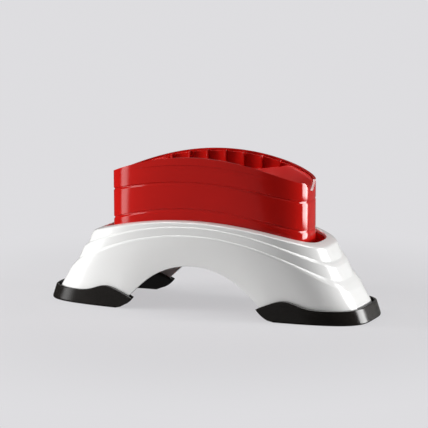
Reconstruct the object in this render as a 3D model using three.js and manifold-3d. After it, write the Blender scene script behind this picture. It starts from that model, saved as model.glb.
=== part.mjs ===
// A riser block for a bicycle's front wheel. A moulded base stands on two legs in rubber boots, and a cradle
// that the tyre lies in slides up and down in the base's well. Two slide bolts in the legs hold it raised.
//
// Millimetres, +Z up. The origin is on the floor under the middle of the block. +X runs along the wheel's
// plane, and +Y goes from the front face to the back one. The cradle stands raised.
import * as THREE from "three";
import { mergeVertices } from "three/addons/utils/BufferGeometryUtils.js";
import Module from "manifold-3d";

const wasm = await Module();
wasm.setup();

// Clearances and overruns that every piece shares.
const seatGap = 0.3;
const slideGap = 0.4;
const overrun = 4;

// The wheel that the cradle is made for.
const wheelRadius = 334;
const tyreBottomHeight = 108.7;
const tyreHalfWidth = 12.5;

// Cradle sleeve: plan, wall, and the heights of its edge lines at mid length and at the end.
const cradleHalfLength = 108.1;
const cradleHalfWidth = 39.05;
const cradleSquareness = 3.24;
const cradleWall = 2.6;
const cradleTopCrown = 158.8;
const cradleTopTip = 135.7;
const cradleTopRound = 0.7;
const cradleBandCrownDrop = 7.4;
const cradleBandTipDrop = 2.4;
const cradleBandLean = 1.2;
const cradleBandFullReach = 45;
const cradleBandFadeReach = 80;
const upperGrooveCrownDrop = 25.8;
const upperGrooveTipDrop = 18.8;
const groovePitchCrown = 27.4;
const groovePitchTip = 29.9;
const grooveDepth = 1.1;
const grooveUpperHalf = 1.2;
const grooveStep = 0.4;
const grooveLowerHalf = 1.7;
const cradleFootHeight = 33;
const cradleFootThickness = 5;
const cradleFootReach = 9.9;
const cradleFootInset = 8;
const cradleFootHalfWidth = 13;
const cradleFootCorner = 3;
const cradleShelfHeight = 60;
const cradleShelfThickness = 3;
const cradleShelfReach = 20;

// The notch in each end of the cradle that the tyre passes through.
const notchHalfWidth = 17;
const notchDepth = 10.6;
const notchFloorGap = 0.7;
const notchCutLength = 24;

// Saddle: the ribbed insert in the sleeve.
const saddleWall = 1.7;
const saddleTopDrop = 2.4;
const saddleRibTopDrop = 1.2;
const saddleRibPitch = 20.3;
const saddleRibsEachSide = 4;
const saddleRibThickness = 2;
const saddleRibDepth = 5;
const troughSkin = 2.8;
const troughSlope = THREE.MathUtils.degToRad(52);
const troughArcTurn = THREE.MathUtils.degToRad(50);
const saddleEdgeLift = 1.5;

// The cradle travels by the pitch of its grooves.
const cradleTravel = groovePitchCrown;

// Well and base: gaps round the cradle, and the runs and drops from each edge line to the next one out.
const wellEndGap = 10.9;
const wellSideGap = 1.65;
const baseSquareness = 3.34;
const rimCrown = 95.4;
const rimTip = 77.4;
const rimRound = 1.5;
const rimEndRun = 10.7;
const rimSideRun = 8.9;
const rimCrownDrop = 1.4;
const rimTipDrop = 4.8;
const upperFaceEndRun = 6.3;
const upperFaceSideRun = 0.2;
const upperFaceCrownDrop = 4.2;
const upperFaceTipDrop = 14.1;
const upperLedgeEndRun = 5.4;
const upperLedgeSideRun = 1.1;
const upperLedgeCrownDrop = 1.3;
const upperLedgeTipDrop = 5;
const middleFaceEndRun = 6.6;
const middleFaceSideRun = 0.1;
const middleFaceCrownDrop = 7.3;
const middleFaceTipDrop = 13.5;
const lowerLedgeEndRun = 8.5;
const lowerLedgeSideRun = 1;
const lowerLedgeCrownDrop = 1.5;
const lowerLedgeTipDrop = 9.7;
const skirtEndRun = 16.1;
const skirtSideRun = 0.2;
const skirtSquareness = 4;
const creaseCrownDrop = 9.2;
const creaseTipDrop = 15;
const creaseBulge = 0.8;
const creaseFullReach = 55;
const creaseFadeReach = 105;
const creaseHighestShare = 0.05;
const creaseLowestShare = 0.9;

// The base's wall, measured across its sides, out from its ends, and down from its crown and its tips.
const baseSideWall = 3;
const baseEndWall = 3.3;
const baseCrownWall = 3.3;
const baseTipWall = 1.3;

// The arch between the legs: a round crown that runs out into straight sides.
const archCrownHeight = 50;
const archRadius = 86;
const archSideTurn = THREE.MathUtils.degToRad(42.4);

// The ledges over the arch's crown that the lowered cradle comes down on.
const stopThickness = 2.2;
const stopHalfLength = 30;
const stopReach = 15.4;

// Rubber boots.
const bootSole = 2.7;
const bootWall = 1.9;
const bootInnerWall = 2;
const bootEndStand = 4.2;
const bootSideStand = 2.2;
const bootLeanShare = 0.36;
const bootSoleRound = 1.8;
const bootLip = 2.3;
const bootLipTurn = THREE.MathUtils.degToRad(49);
const bootHeelRound = 9;
const bootTopHeight = 15;
const bootCrestRise = 7.5;
const bootCrestPlace = 99;
const bootCrestSpread = 18;
const bootTipDrop = 3.5;
const bootTipRun = 29.8;
const bootBlankHeight = 27;

// Well liner, the guide that the cradle slides in.
const linerWall = 2;
const linerFlangeRun = 3;
const linerFlangeThickness = 2.2;
const linerRailPlace = 11.2;
const linerRailThickness = 2.4;
const linerRailTopDrop = 14;
const linerPadPlace = 55;
const linerPadWidth = 6;
const linerPlateThickness = 3;
const linerPlateHalfWidth = 26;
const linerPlateRun = 14;
const linerPlateNose = 8.5;
const linerPlateNoseHalfWidth = 17;

// Slide bolts and their keepers.
const boltHalfWidth = 9;
const boltTongueThickness = 6;
const boltBodyLength = 18.4;
const boltTravel = 5;
const boltTipGap = 0.6;
const boltTabThickness = 3;
const boltTabDrop = 12;
const boltTabHalfWidth = 8;
const keeperLength = 8.3;
const keeperSetback = 1.4;
const keeperWall = 3;
const keeperEarWidth = 6.4;

// Screws.
const screwShankRadius = 1.7;
const screwHeadRadius = 3.2;
const screwHeadHeight = 2.3;
const screwLength = 13;
const screwHoleGap = 0.35;
const keeperScrewLength = 5.2;
const bossRadius = 3.7;
const bossPlaceRun = 5.2;
const bossSidePlace = 22.5;
const saddleScrewInset = 13.1;
const saddleScrewSidePlace = 14;

// How finely curves are divided.
const quadrantSteps = 13;
const curveSteps = 12;
const roundSides = 12;
const troughArcSteps = 3;
const troughStations = 12;
const fineSteps = 720;

// Points round a plan are spaced by length, and a radian of turn counts as this much length.
const turnAsLength = 60;

// Solid geometry

function solidFrom(geometry) {
  const loose = geometry.index ? geometry.toNonIndexed() : geometry;
  const bare = new THREE.BufferGeometry();
  bare.setAttribute("position", loose.getAttribute("position"));
  const merged = mergeVertices(bare);
  const mesh = new wasm.Mesh({
    numProp: 3,
    vertProperties: new Float32Array(merged.getAttribute("position").array),
    triVerts: new Uint32Array(merged.index.array),
  });
  return new wasm.Manifold(mesh);
}

function meshFrom(name, solid, material) {
  const { vertProperties, triVerts } = solid.getMesh();
  const geometry = new THREE.BufferGeometry();
  geometry.setAttribute("position", new THREE.BufferAttribute(vertProperties, 3));
  geometry.setIndex(new THREE.BufferAttribute(triVerts, 1));
  geometry.computeVertexNormals();
  const mesh = new THREE.Mesh(geometry, material);
  mesh.name = name;
  return mesh;
}

function union(solids) {
  return solids.reduce((sum, solid) => sum.add(solid));
}

// A box between two corners.
function box(low, high) {
  const size = new THREE.Vector3().subVectors(high, low);
  const geometry = new THREE.BoxGeometry(size.x, size.y, size.z);
  geometry.translate(low.x + size.x / 2, low.y + size.y / 2, low.z + size.z / 2);
  return solidFrom(geometry);
}

// A box on one end of the block: side is 1 for the +X end and -1 for the -X end, and near and far are
// distances from the middle.
function endBox(side, near, far, lowY, highY, lowZ, highZ) {
  const low = new THREE.Vector3(Math.min(side * near, side * far), lowY, lowZ);
  const high = new THREE.Vector3(Math.max(side * near, side * far), highY, highZ);
  return box(low, high);
}

function uprightCylinder(x, y, bottom, top, radius) {
  const geometry = new THREE.CylinderGeometry(radius, radius, top - bottom, roundSides);
  geometry.rotateX(Math.PI / 2);
  geometry.translate(x, y, (bottom + top) / 2);
  return solidFrom(geometry);
}

// A shape drawn in X and Z, run along Y through the whole block.
function prismAlongY(shape, lowY, highY) {
  const options = { depth: highY - lowY, bevelEnabled: false, curveSegments: curveSteps };
  const geometry = new THREE.ExtrudeGeometry(shape, options);
  geometry.rotateX(Math.PI / 2);
  geometry.translate(0, highY, 0);
  return solidFrom(geometry);
}

// A shape drawn in Y and Z, run along X.
function prismAlongX(shape, lowX, highX) {
  const options = { depth: highX - lowX, bevelEnabled: false, curveSegments: curveSteps };
  const geometry = new THREE.ExtrudeGeometry(shape, options);
  const turned = new THREE.Matrix4().makeBasis(
    new THREE.Vector3(0, 1, 0),
    new THREE.Vector3(0, 0, 1),
    new THREE.Vector3(1, 0, 0),
  );
  geometry.applyMatrix4(turned);
  geometry.translate(lowX, 0, 0);
  return solidFrom(geometry);
}

// A shape drawn in X and Y, run upwards.
function prismAlongZ(shape, bottom, top) {
  const options = { depth: top - bottom, bevelEnabled: false, curveSegments: curveSteps };
  const geometry = new THREE.ExtrudeGeometry(shape, options);
  geometry.translate(0, 0, bottom);
  return solidFrom(geometry);
}

// A closed surface through sections that have the same number of points, each going the same way round.
// The end sections are closed by the cap triangles, which number a section's points.
function skinned(sections, capTriangles) {
  const count = sections[0].length;
  const positions = [];
  const put = (point) => positions.push(point.x, point.y, point.z);
  for (let level = 0; level + 1 < sections.length; level += 1) {
    for (let i = 0; i < count; i += 1) {
      const next = (i + 1) % count;
      const [a, b] = [sections[level][i], sections[level][next]];
      const [c, d] = [sections[level + 1][next], sections[level + 1][i]];
      [a, b, c, a, c, d].forEach(put);
    }
  }
  for (const [i, j, k] of capTriangles) {
    const [first, last] = [sections[0], sections[sections.length - 1]];
    [first[k], first[j], first[i], last[i], last[j], last[k]].forEach(put);
  }
  const geometry = new THREE.BufferGeometry();
  geometry.setAttribute("position", new THREE.Float32BufferAttribute(positions, 3));
  return solidFrom(geometry);
}

// Rings: every edge line of the block is a superellipse in plan, and its height falls from its crown at mid
// length to its tips at the ends.

function superellipsePoint(line, angle) {
  const power = 2 / line.squareness;
  const [c, s] = [Math.cos(angle), Math.sin(angle)];
  const x = line.halfLength * Math.sign(c) * Math.abs(c) ** power;
  const y = line.halfWidth * Math.sign(s) * Math.abs(s) ** power;
  return new THREE.Vector2(x, y);
}

// The angles of one quadrant's points, closer together where the plan turns.
function quadrantAngles() {
  const line = { halfLength: cradleHalfLength, halfWidth: cradleHalfWidth, squareness: cradleSquareness };
  const measures = [0];
  let heading = Math.PI / 2;
  for (let i = 1; i <= fineSteps; i += 1) {
    const from = superellipsePoint(line, ((i - 1) / fineSteps) * (Math.PI / 2));
    const to = superellipsePoint(line, (i / fineSteps) * (Math.PI / 2));
    const step = to.clone().sub(from);
    const newHeading = Math.atan2(step.y, step.x);
    measures.push(measures[i - 1] + step.length() + turnAsLength * Math.abs(newHeading - heading));
    heading = newHeading;
  }
  const angles = [];
  for (let k = 0; k < quadrantSteps; k += 1) {
    const wanted = (measures[fineSteps] * k) / quadrantSteps;
    const after = Math.max(1, measures.findIndex((measure) => measure >= wanted));
    const share = (wanted - measures[after - 1]) / (measures[after] - measures[after - 1]);
    angles.push(((after - 1 + share) / fineSteps) * (Math.PI / 2));
  }
  return angles;
}

function fullTurnAngles() {
  const rising = quadrantAngles();
  const falling = [Math.PI / 2, ...rising.slice(1).reverse()];
  const half = [...rising, ...falling.map((angle) => Math.PI - angle)];
  return [...half, ...half.map((angle) => angle + Math.PI)];
}

const ringAngles = fullTurnAngles();

function heightOn(line, x) {
  return line.crown - (line.crown - line.tip) * (x / line.halfLength) ** 2;
}

function ring(line) {
  return ringAngles.map((angle) => {
    const plan = superellipsePoint(line, angle);
    return new THREE.Vector3(plan.x, plan.y, heightOn(line, plan.x));
  });
}

// The edge line that lies outwards and downwards of another one.
function stepOut(line, endRun, sideRun, crownDrop, tipDrop) {
  return {
    halfLength: line.halfLength + endRun,
    halfWidth: line.halfWidth + sideRun,
    squareness: line.squareness,
    crown: line.crown - crownDrop,
    tip: line.tip - tipDrop,
  };
}

function grown(line, by) {
  return stepOut(line, by, by, 0, 0);
}

function lowered(line, by) {
  return stepOut(line, 0, 0, by, by);
}

function levelAt(line, height) {
  return { ...line, crown: height, tip: height };
}

// A solid through rings from the lowest to the highest. Points that mirror each other across the X axis
// have the same height, so strips between them close its top and bottom.
function loft(rings) {
  const count = rings[0].length;
  const capTriangles = [];
  for (let i = 0; i < count / 2; i += 1) {
    const [across, acrossNext] = [(count - i) % count, count - i - 1];
    capTriangles.push([i, i + 1, acrossNext]);
    if (i > 0) capTriangles.push([i, acrossNext, across]);
  }
  return skinned(rings, capTriangles.filter(([, j, k]) => j !== k));
}

// 1 up to the full reach, 0 from the fade reach on, and smooth between them.
function fade(distance, fullReach, fadeReach) {
  const share = THREE.MathUtils.clamp((distance - fullReach) / (fadeReach - fullReach), 0, 1);
  return 1 - share * share * (3 - 2 * share);
}

// The arch

const archCentreHeight = archCrownHeight - archRadius;

// An arch's opening in X and Z: a round crown of a radius about a centre, straight sides that leave it at
// a turn from upright, and a heel rounded by a radius where the sides meet the floor.
function archShape(centreHeight, radius, turn = archSideTurn, heelRound = 0) {
  const bottom = -overrun;
  const sideAt = (height) => (radius - (height - centreHeight) * Math.cos(turn)) / Math.sin(turn);
  const shape = new THREE.Shape();
  if (heelRound > 0) {
    const reach = radius + heelRound - (heelRound - centreHeight) * Math.cos(turn);
    const heelCentre = reach / Math.sin(turn);
    shape.moveTo(-heelCentre, bottom);
    shape.lineTo(heelCentre, bottom);
    shape.absarc(heelCentre, heelRound, heelRound, -Math.PI / 2, -Math.PI / 2 - turn, true);
    shape.absarc(0, centreHeight, radius, Math.PI / 2 - turn, Math.PI / 2 + turn, false);
    shape.absarc(-heelCentre, heelRound, heelRound, -Math.PI / 2 + turn, -Math.PI / 2, true);
  } else {
    shape.moveTo(-sideAt(bottom), bottom);
    shape.lineTo(sideAt(bottom), bottom);
    shape.absarc(0, centreHeight, radius, Math.PI / 2 - turn, Math.PI / 2 + turn, false);
  }
  shape.closePath();
  return shape;
}

// Edge lines of the base, from the well outwards and down.
const wellEdge = {
  halfLength: cradleHalfLength + wellEndGap,
  halfWidth: cradleHalfWidth + wellSideGap,
  squareness: baseSquareness,
  crown: rimCrown,
  tip: rimTip,
};
const rimEdge = stepOut(wellEdge, rimEndRun, rimSideRun, rimCrownDrop, rimTipDrop);
const upperFaceFoot = stepOut(
  rimEdge,
  upperFaceEndRun,
  upperFaceSideRun,
  upperFaceCrownDrop,
  upperFaceTipDrop,
);
const upperLedgeEdge = stepOut(
  upperFaceFoot,
  upperLedgeEndRun,
  upperLedgeSideRun,
  upperLedgeCrownDrop,
  upperLedgeTipDrop,
);
const middleFaceFoot = stepOut(
  upperLedgeEdge,
  middleFaceEndRun,
  middleFaceSideRun,
  middleFaceCrownDrop,
  middleFaceTipDrop,
);
const lowerLedgeEdge = stepOut(
  middleFaceFoot,
  lowerLedgeEndRun,
  lowerLedgeSideRun,
  lowerLedgeCrownDrop,
  lowerLedgeTipDrop,
);
const skirtHeight = bootSole + seatGap;
const skirtEdge = {
  ...levelAt(stepOut(lowerLedgeEdge, skirtEndRun, skirtSideRun, 0, 0), skirtHeight),
  squareness: skirtSquareness,
};

// The same lines on the inside of the base's wall.
function insideOf(line) {
  return stepOut(line, -baseEndWall, -baseSideWall, baseCrownWall, baseTipWall);
}
const skirtInside = { ...insideOf(skirtEdge), crown: skirtHeight, tip: skirtHeight };
const lowerLedgeInside = insideOf(lowerLedgeEdge);
const rimInside = insideOf(rimEdge);

// The crease on the long faces: a line between the lower ledge and the skirt that stands out a little, and
// dies away towards the ends.
function creaseRing() {
  const upper = ring(lowerLedgeEdge);
  const lower = ring(skirtEdge);
  const crease = stepOut(lowerLedgeEdge, 0, 0, creaseCrownDrop, creaseTipDrop);
  return upper.map((top, i) => {
    const foot = lower[i];
    const wanted = (top.z - heightOn(crease, top.x)) / (top.z - foot.z);
    const share = THREE.MathUtils.clamp(wanted, creaseHighestShare, creaseLowestShare);
    const point = top.clone().lerp(foot, share);
    point.y += Math.sign(point.y) * creaseBulge * fade(Math.abs(point.x), creaseFullReach, creaseFadeReach);
    return point;
  });
}

function baseOutside() {
  return loft([
    ring(skirtEdge),
    creaseRing(),
    ring(lowerLedgeEdge),
    ring(middleFaceFoot),
    ring(upperLedgeEdge),
    ring(upperFaceFoot),
    ring(lowered(rimEdge, rimRound)),
    ring(grown(rimEdge, -rimRound)),
    ring(wellEdge),
  ]);
}

function baseInside() {
  return loft([
    ring(levelAt(skirtInside, -overrun)),
    ring(skirtInside),
    ring(lowerLedgeInside),
    ring(insideOf(middleFaceFoot)),
    ring(insideOf(upperLedgeEdge)),
    ring(insideOf(upperFaceFoot)),
    ring(rimInside),
  ]);
}

// The well's opening through the rim, with its upper edge rounded off.
function wellOpening() {
  const flared = grown(wellEdge, rimRound);
  return loft([
    ring(levelAt(wellEdge, 0)),
    ring(lowered(wellEdge, rimRound)),
    ring(flared),
    ring(levelAt(flared, rimCrown + overrun)),
  ]);
}

// Places of the posts under the rim that the liner is screwed to.
const linerInsideEdge = grown(wellEdge, seatGap);
const linerOutsideEdge = grown(linerInsideEdge, linerWall);
const bossPlaces = [];
for (const side of [-1, 1]) {
  for (const flank of [-1, 1]) {
    const along = side * (linerOutsideEdge.halfLength + bossPlaceRun);
    bossPlaces.push(new THREE.Vector2(along, flank * bossSidePlace));
  }
}
const linerBottom = cradleFootHeight + cradleFootThickness + seatGap;
const linerPlateTop = linerBottom + linerPlateThickness;
const bossBottom = linerPlateTop + seatGap;
const holeRadius = screwShankRadius + screwHoleGap;

// A stop over the arch's crown, on the inside of one long wall: flank is -1 at the front and 1 at the back.
function cradleStop(flank) {
  const shape = new THREE.Shape();
  const turn = Math.asin(stopHalfLength / archRadius);
  shape.absarc(0, archCentreHeight, archRadius + stopThickness, Math.PI / 2 - turn, Math.PI / 2 + turn);
  shape.absarc(0, archCentreHeight, archRadius, Math.PI / 2 + turn, Math.PI / 2 - turn, true);
  shape.closePath();
  const wallFace = skirtEdge.halfWidth - baseSideWall / 2;
  const innerFace = skirtEdge.halfWidth - stopReach;
  return flank > 0
    ? prismAlongY(shape, innerFace, wallFace)
    : prismAlongY(shape, -wallFace, -innerFace);
}

function baseShell() {
  const outside = baseOutside();
  const halfWidth = skirtEdge.halfWidth + overrun;
  const arch = prismAlongY(archShape(archCentreHeight, archRadius), -halfWidth, halfWidth);
  const posts = bossPlaces.map(({ x, y }) => uprightCylinder(x, y, bossBottom, rimCrown, bossRadius));
  const bores = bossPlaces.map(({ x, y }) => {
    const depth = screwLength - linerPlateThickness + overrun;
    return uprightCylinder(x, y, bossBottom - overrun, bossBottom + depth, holeRadius);
  });
  return outside
    .subtract(baseInside())
    .add(union(posts).intersect(outside))
    .subtract(wellOpening())
    .subtract(arch)
    .add(cradleStop(-1))
    .add(cradleStop(1))
    .subtract(union(bores));
}

// Rubber boots

// The height of a boot's top edge: level round the end, a crest on each flank, and a drop to the lip.
function bootTopAt(distance) {
  const crest = bootCrestRise * Math.exp(-(((distance - bootCrestPlace) / bootCrestSpread) ** 2));
  const inward = THREE.MathUtils.clamp((bootCrestPlace - distance) / bootTipRun, 0, 1);
  return bootTopHeight + crest - bootTipDrop * inward ** 4;
}

// Everything above the boots' top edge, on the side of the block that is asked for.
function aboveBoots(side, halfWidth) {
  const start = bootCrestPlace - bootTipRun;
  const levelFrom = bootCrestPlace + 2 * bootCrestSpread;
  const end = skirtEdge.halfLength + bootEndStand + overrun;
  const shape = new THREE.Shape();
  shape.moveTo(0, bootBlankHeight + overrun);
  shape.lineTo(0, bootTopAt(0));
  for (let i = 0; i <= curveSteps; i += 1) {
    const distance = start + ((levelFrom - start) * i) / curveSteps;
    shape.lineTo(side * distance, bootTopAt(distance));
  }
  shape.lineTo(side * end, bootTopAt(end));
  shape.lineTo(side * end, bootBlankHeight + overrun);
  shape.closePath();
  return prismAlongY(shape, -halfWidth, halfWidth);
}

function boot(side) {
  const foot = levelAt(stepOut(skirtEdge, bootEndStand, bootSideStand, 0, 0), 0);
  const top = levelAt(stepOut(foot, -bootLeanShare * bootBlankHeight, 0, 0, 0), bootBlankHeight);
  const aboveSole = stepOut(foot, -bootLeanShare * bootSoleRound, 0, 0, 0);
  const grooveFoot = stepOut(foot, -bootLeanShare * bootSole - bootWall, -bootWall, 0, 0);
  const halfWidth = foot.halfWidth + overrun;
  const outside = loft([
    ring(grown(foot, -bootSoleRound / 2)),
    ring(levelAt(aboveSole, bootSoleRound)),
    ring(top),
  ]);
  const grooveOutside = loft([
    ring(levelAt(grooveFoot, bootSole)),
    ring(levelAt(grown(top, -bootWall), bootBlankHeight)),
  ]);
  const innerWallFoot = grown(skirtInside, -seatGap);
  const innerWallTop = grown(lowerLedgeInside, -seatGap);
  const grooveInside = loft([
    ring(levelAt(innerWallFoot, 0)),
    ring(innerWallFoot),
    ring(innerWallTop),
  ]);
  const hollow = loft([
    ring(levelAt(grown(innerWallFoot, -bootInnerWall), -overrun)),
    ring(grown(innerWallFoot, -bootInnerWall)),
    ring(grown(innerWallTop, -bootInnerWall)),
  ]);
  const insideArch = archShape(archCentreHeight, archRadius - seatGap);
  const groove = grooveOutside
    .subtract(grooveInside)
    .subtract(prismAlongY(insideArch, -halfWidth, halfWidth));
  const lip = archShape(archCentreHeight, archRadius - bootLip, bootLipTurn, bootHeelRound);
  const half = endBox(side, 0, foot.halfLength + overrun, -halfWidth, halfWidth, 0, bootBlankHeight);
  return outside
    .intersect(half)
    .subtract(groove)
    .subtract(hollow)
    .subtract(prismAlongY(lip, -halfWidth, halfWidth))
    .subtract(aboveBoots(side, halfWidth));
}

// Cradle sleeve

const cradleEdge = {
  halfLength: cradleHalfLength,
  halfWidth: cradleHalfWidth,
  squareness: cradleSquareness,
  crown: cradleTopCrown,
  tip: cradleTopTip,
};
const cradleInside = grown(cradleEdge, -cradleWall);
const cradleRoof = Math.max(cradleTopCrown, cradleTopTip) + overrun;
const cradleArchCentre = archCentreHeight + cradleTravel;
const cradleArchRadius = archRadius + stopThickness + seatGap;

// The band above the crease leans inwards along the long walls.
function leaningRing(line) {
  return ring(line).map((point) => {
    const lean = cradleBandLean * fade(Math.abs(point.x), cradleBandFullReach, cradleBandFadeReach);
    return point.setY(point.y - Math.sign(point.y) * lean);
  });
}

// The four rings of a groove: a sharp upper edge and a sloping lower side.
function grooveRings(centreLine) {
  return [
    ring(lowered(centreLine, grooveLowerHalf)),
    ring(grown(centreLine, -grooveDepth)),
    ring(grown(lowered(centreLine, -grooveUpperHalf + grooveStep), -grooveDepth)),
    ring(lowered(centreLine, -grooveUpperHalf)),
  ];
}

// The height of the tyre's underside at a distance from the middle.
function tyreUndersideAt(x) {
  return tyreBottomHeight + wheelRadius - Math.sqrt(wheelRadius ** 2 - x ** 2);
}

// The notch for the tyre, in Y and Z, and all that is above it.
function notchShape() {
  const shape = new THREE.Shape();
  const floor = tyreUndersideAt(cradleHalfLength) - notchFloorGap;
  const top = floor + notchDepth + cradleRoof;
  shape.moveTo(-notchHalfWidth, top);
  for (let i = -curveSteps / 2; i <= curveSteps / 2; i += 1) {
    const share = (2 * i) / curveSteps;
    const rise = notchDepth * share * share * (3 - 2 * Math.abs(share));
    shape.lineTo(share * notchHalfWidth, floor + rise);
  }
  shape.lineTo(notchHalfWidth, top);
  shape.closePath();
  return shape;
}

function notchCutter(side) {
  const far = cradleHalfLength + overrun;
  const near = far - notchCutLength;
  return prismAlongX(notchShape(), Math.min(side * near, side * far), Math.max(side * near, side * far));
}

const saddleScrewPlaces = [];
for (const side of [-1, 1]) {
  for (const flank of [-1, 1]) {
    const along = side * (cradleHalfLength - saddleScrewInset);
    saddleScrewPlaces.push(new THREE.Vector2(along, flank * saddleScrewSidePlace));
  }
}

// The foot at one end of the sleeve, which stops it under the liner and stands on the bolt.
function cradleFoot(side) {
  const near = side * (cradleHalfLength - cradleFootInset);
  const far = side * (cradleHalfLength + cradleFootReach);
  const corner = side * cradleFootCorner;
  const shape = new THREE.Shape();
  shape.moveTo(near, -cradleFootHalfWidth);
  shape.lineTo(far - corner, -cradleFootHalfWidth);
  shape.quadraticCurveTo(far, -cradleFootHalfWidth, far, -cradleFootHalfWidth + cradleFootCorner);
  shape.lineTo(far, cradleFootHalfWidth - cradleFootCorner);
  shape.quadraticCurveTo(far, cradleFootHalfWidth, far - corner, cradleFootHalfWidth);
  shape.lineTo(near, cradleFootHalfWidth);
  shape.closePath();
  return prismAlongZ(shape, cradleFootHeight, cradleFootHeight + cradleFootThickness);
}

function cradleSleeve() {
  const upperGroove = stepOut(cradleEdge, 0, 0, upperGrooveCrownDrop, upperGrooveTipDrop);
  const lowerGroove = stepOut(upperGroove, 0, 0, groovePitchCrown, groovePitchTip);
  const crease = stepOut(cradleEdge, 0, 0, cradleBandCrownDrop, cradleBandTipDrop);
  const outside = loft([
    ring(levelAt(cradleEdge, cradleFootHeight)),
    ...grooveRings(lowerGroove),
    ...grooveRings(upperGroove),
    ring(crease),
    leaningRing(lowered(cradleEdge, cradleTopRound)),
    leaningRing(grown(cradleEdge, -cradleTopRound)),
  ]);
  const inside = loft([
    ring(levelAt(cradleInside, cradleFootHeight - overrun)),
    ring(levelAt(cradleInside, cradleRoof)),
  ]);
  const halfWidth = cradleHalfWidth + overrun;
  const arch = archShape(cradleArchCentre, cradleArchRadius);
  const shelfTop = cradleShelfHeight + cradleShelfThickness;
  const shelfNear = cradleHalfLength - cradleShelfReach;
  const shelves = [-1, 1].map((side) =>
    endBox(side, shelfNear, cradleHalfLength, -halfWidth, halfWidth, cradleShelfHeight, shelfTop),
  );
  const holes = saddleScrewPlaces.map(({ x, y }) =>
    uprightCylinder(x, y, cradleShelfHeight - overrun, shelfTop + overrun, holeRadius),
  );
  return outside
    .subtract(inside)
    .add(union(shelves).intersect(outside))
    .add(cradleFoot(-1))
    .add(cradleFoot(1))
    .subtract(prismAlongY(arch, -halfWidth, halfWidth))
    .subtract(notchCutter(-1))
    .subtract(notchCutter(1))
    .subtract(union(holes));
}

// Tyre saddle

const saddleEdge = grown(cradleInside, -seatGap);
const saddleBottom = cradleShelfHeight + cradleShelfThickness + seatGap;
const ribInnerFace = saddleEdge.halfWidth - saddleWall - saddleRibDepth;

// The trough's section, from its middle out to the ribs' inner faces: round under the tyre, then a straight
// slope up to a ledge. Heights are above the tyre's underside.
function troughHalfSection() {
  const points = [];
  for (let i = 0; i <= troughArcSteps; i += 1) {
    const turn = (troughArcTurn * i) / troughArcSteps;
    points.push(new THREE.Vector2(tyreHalfWidth * Math.sin(turn), tyreHalfWidth * (1 - Math.cos(turn))));
  }
  const last = points[points.length - 1];
  const ledge = last.y + (ribInnerFace - last.x) * Math.tan(troughSlope);
  points.push(new THREE.Vector2(ribInnerFace, ledge));
  return points;
}

// Sections across the block at stations along it, each moved up with the tyre's underside.
function sweptAlongTyre(outline) {
  const reach = cradleHalfLength + overrun;
  const sections = [];
  for (let i = 0; i <= troughStations; i += 1) {
    const x = -reach + (2 * reach * i) / troughStations;
    sections.push(outline.map(({ x: y, y: rise }) => new THREE.Vector3(x, y, tyreUndersideAt(x) + rise)));
  }
  const capTriangles = THREE.ShapeUtils.triangulateShape(outline, []);
  return skinned(sections, capTriangles);
}

// Everything above the trough's surface lowered by a drop, out to a distance from the middle. Beyond the
// ribs' inner faces the surface is the level ledge.
function aboveTrough(reach, drop) {
  const half = troughHalfSection();
  const ledge = half[half.length - 1].y;
  if (reach > ribInnerFace) half.push(new THREE.Vector2(reach, ledge));
  const rightSide = [...half, new THREE.Vector2(reach, ledge + cradleRoof)];
  const leftSide = rightSide.slice(1).map(({ x, y }) => new THREE.Vector2(-x, y));
  const outline = [...leftSide.reverse(), ...rightSide];
  return sweptAlongTyre(outline.map(({ x, y }) => new THREE.Vector2(x, y - drop)));
}

// Everything above the sleeve's top edge lowered by a drop.
function aboveCradle(drop) {
  const wide = grown(cradleEdge, overrun);
  return loft([ring(lowered(wide, drop)), ring(levelAt(wide, cradleRoof))]);
}

function tyreSaddle() {
  const insideLine = grown(saddleEdge, -saddleWall);
  const blank = loft([ring(levelAt(saddleEdge, saddleBottom)), ring(levelAt(saddleEdge, cradleRoof))]);
  const wall = blank.subtract(loft([
    ring(levelAt(insideLine, saddleBottom - overrun)),
    ring(levelAt(insideLine, cradleRoof + overrun)),
  ]));
  const halfWidth = cradleHalfWidth + overrun;
  const underDeck = blank
    .subtract(aboveTrough(halfWidth, troughSkin))
    .subtract(aboveCradle(saddleTopDrop + troughSkin));
  const deck = blank.subtract(aboveTrough(halfWidth, 0)).subtract(underDeck);
  const ribs = [];
  for (let i = -saddleRibsEachSide; i <= saddleRibsEachSide; i += 1) {
    const x = i * saddleRibPitch;
    const half = new THREE.Vector3(saddleRibThickness / 2, cradleHalfWidth, 0);
    const low = new THREE.Vector3(x, 0, saddleBottom).sub(half);
    const high = new THREE.Vector3(x, 0, cradleRoof).add(half);
    ribs.push(box(low, high));
  }
  const posts = saddleScrewPlaces.map(({ x, y }) =>
    uprightCylinder(x, y, saddleBottom, cradleRoof, bossRadius),
  );
  const bores = saddleScrewPlaces.map(({ x, y }) =>
    uprightCylinder(x, y, saddleBottom - overrun, saddleBottom + screwLength, holeRadius),
  );
  const arch = archShape(cradleArchCentre, cradleArchRadius + saddleEdgeLift);
  return wall
    .add(deck)
    .add(union(posts))
    .subtract(aboveCradle(saddleTopDrop))
    .add(union(ribs).subtract(aboveCradle(saddleRibTopDrop)))
    .intersect(blank)
    .subtract(aboveTrough(ribInnerFace, 0))
    .subtract(notchCutter(-1))
    .subtract(notchCutter(1))
    .subtract(prismAlongY(arch, -halfWidth, halfWidth))
    .subtract(union(bores));
}

// Well liner

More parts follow.
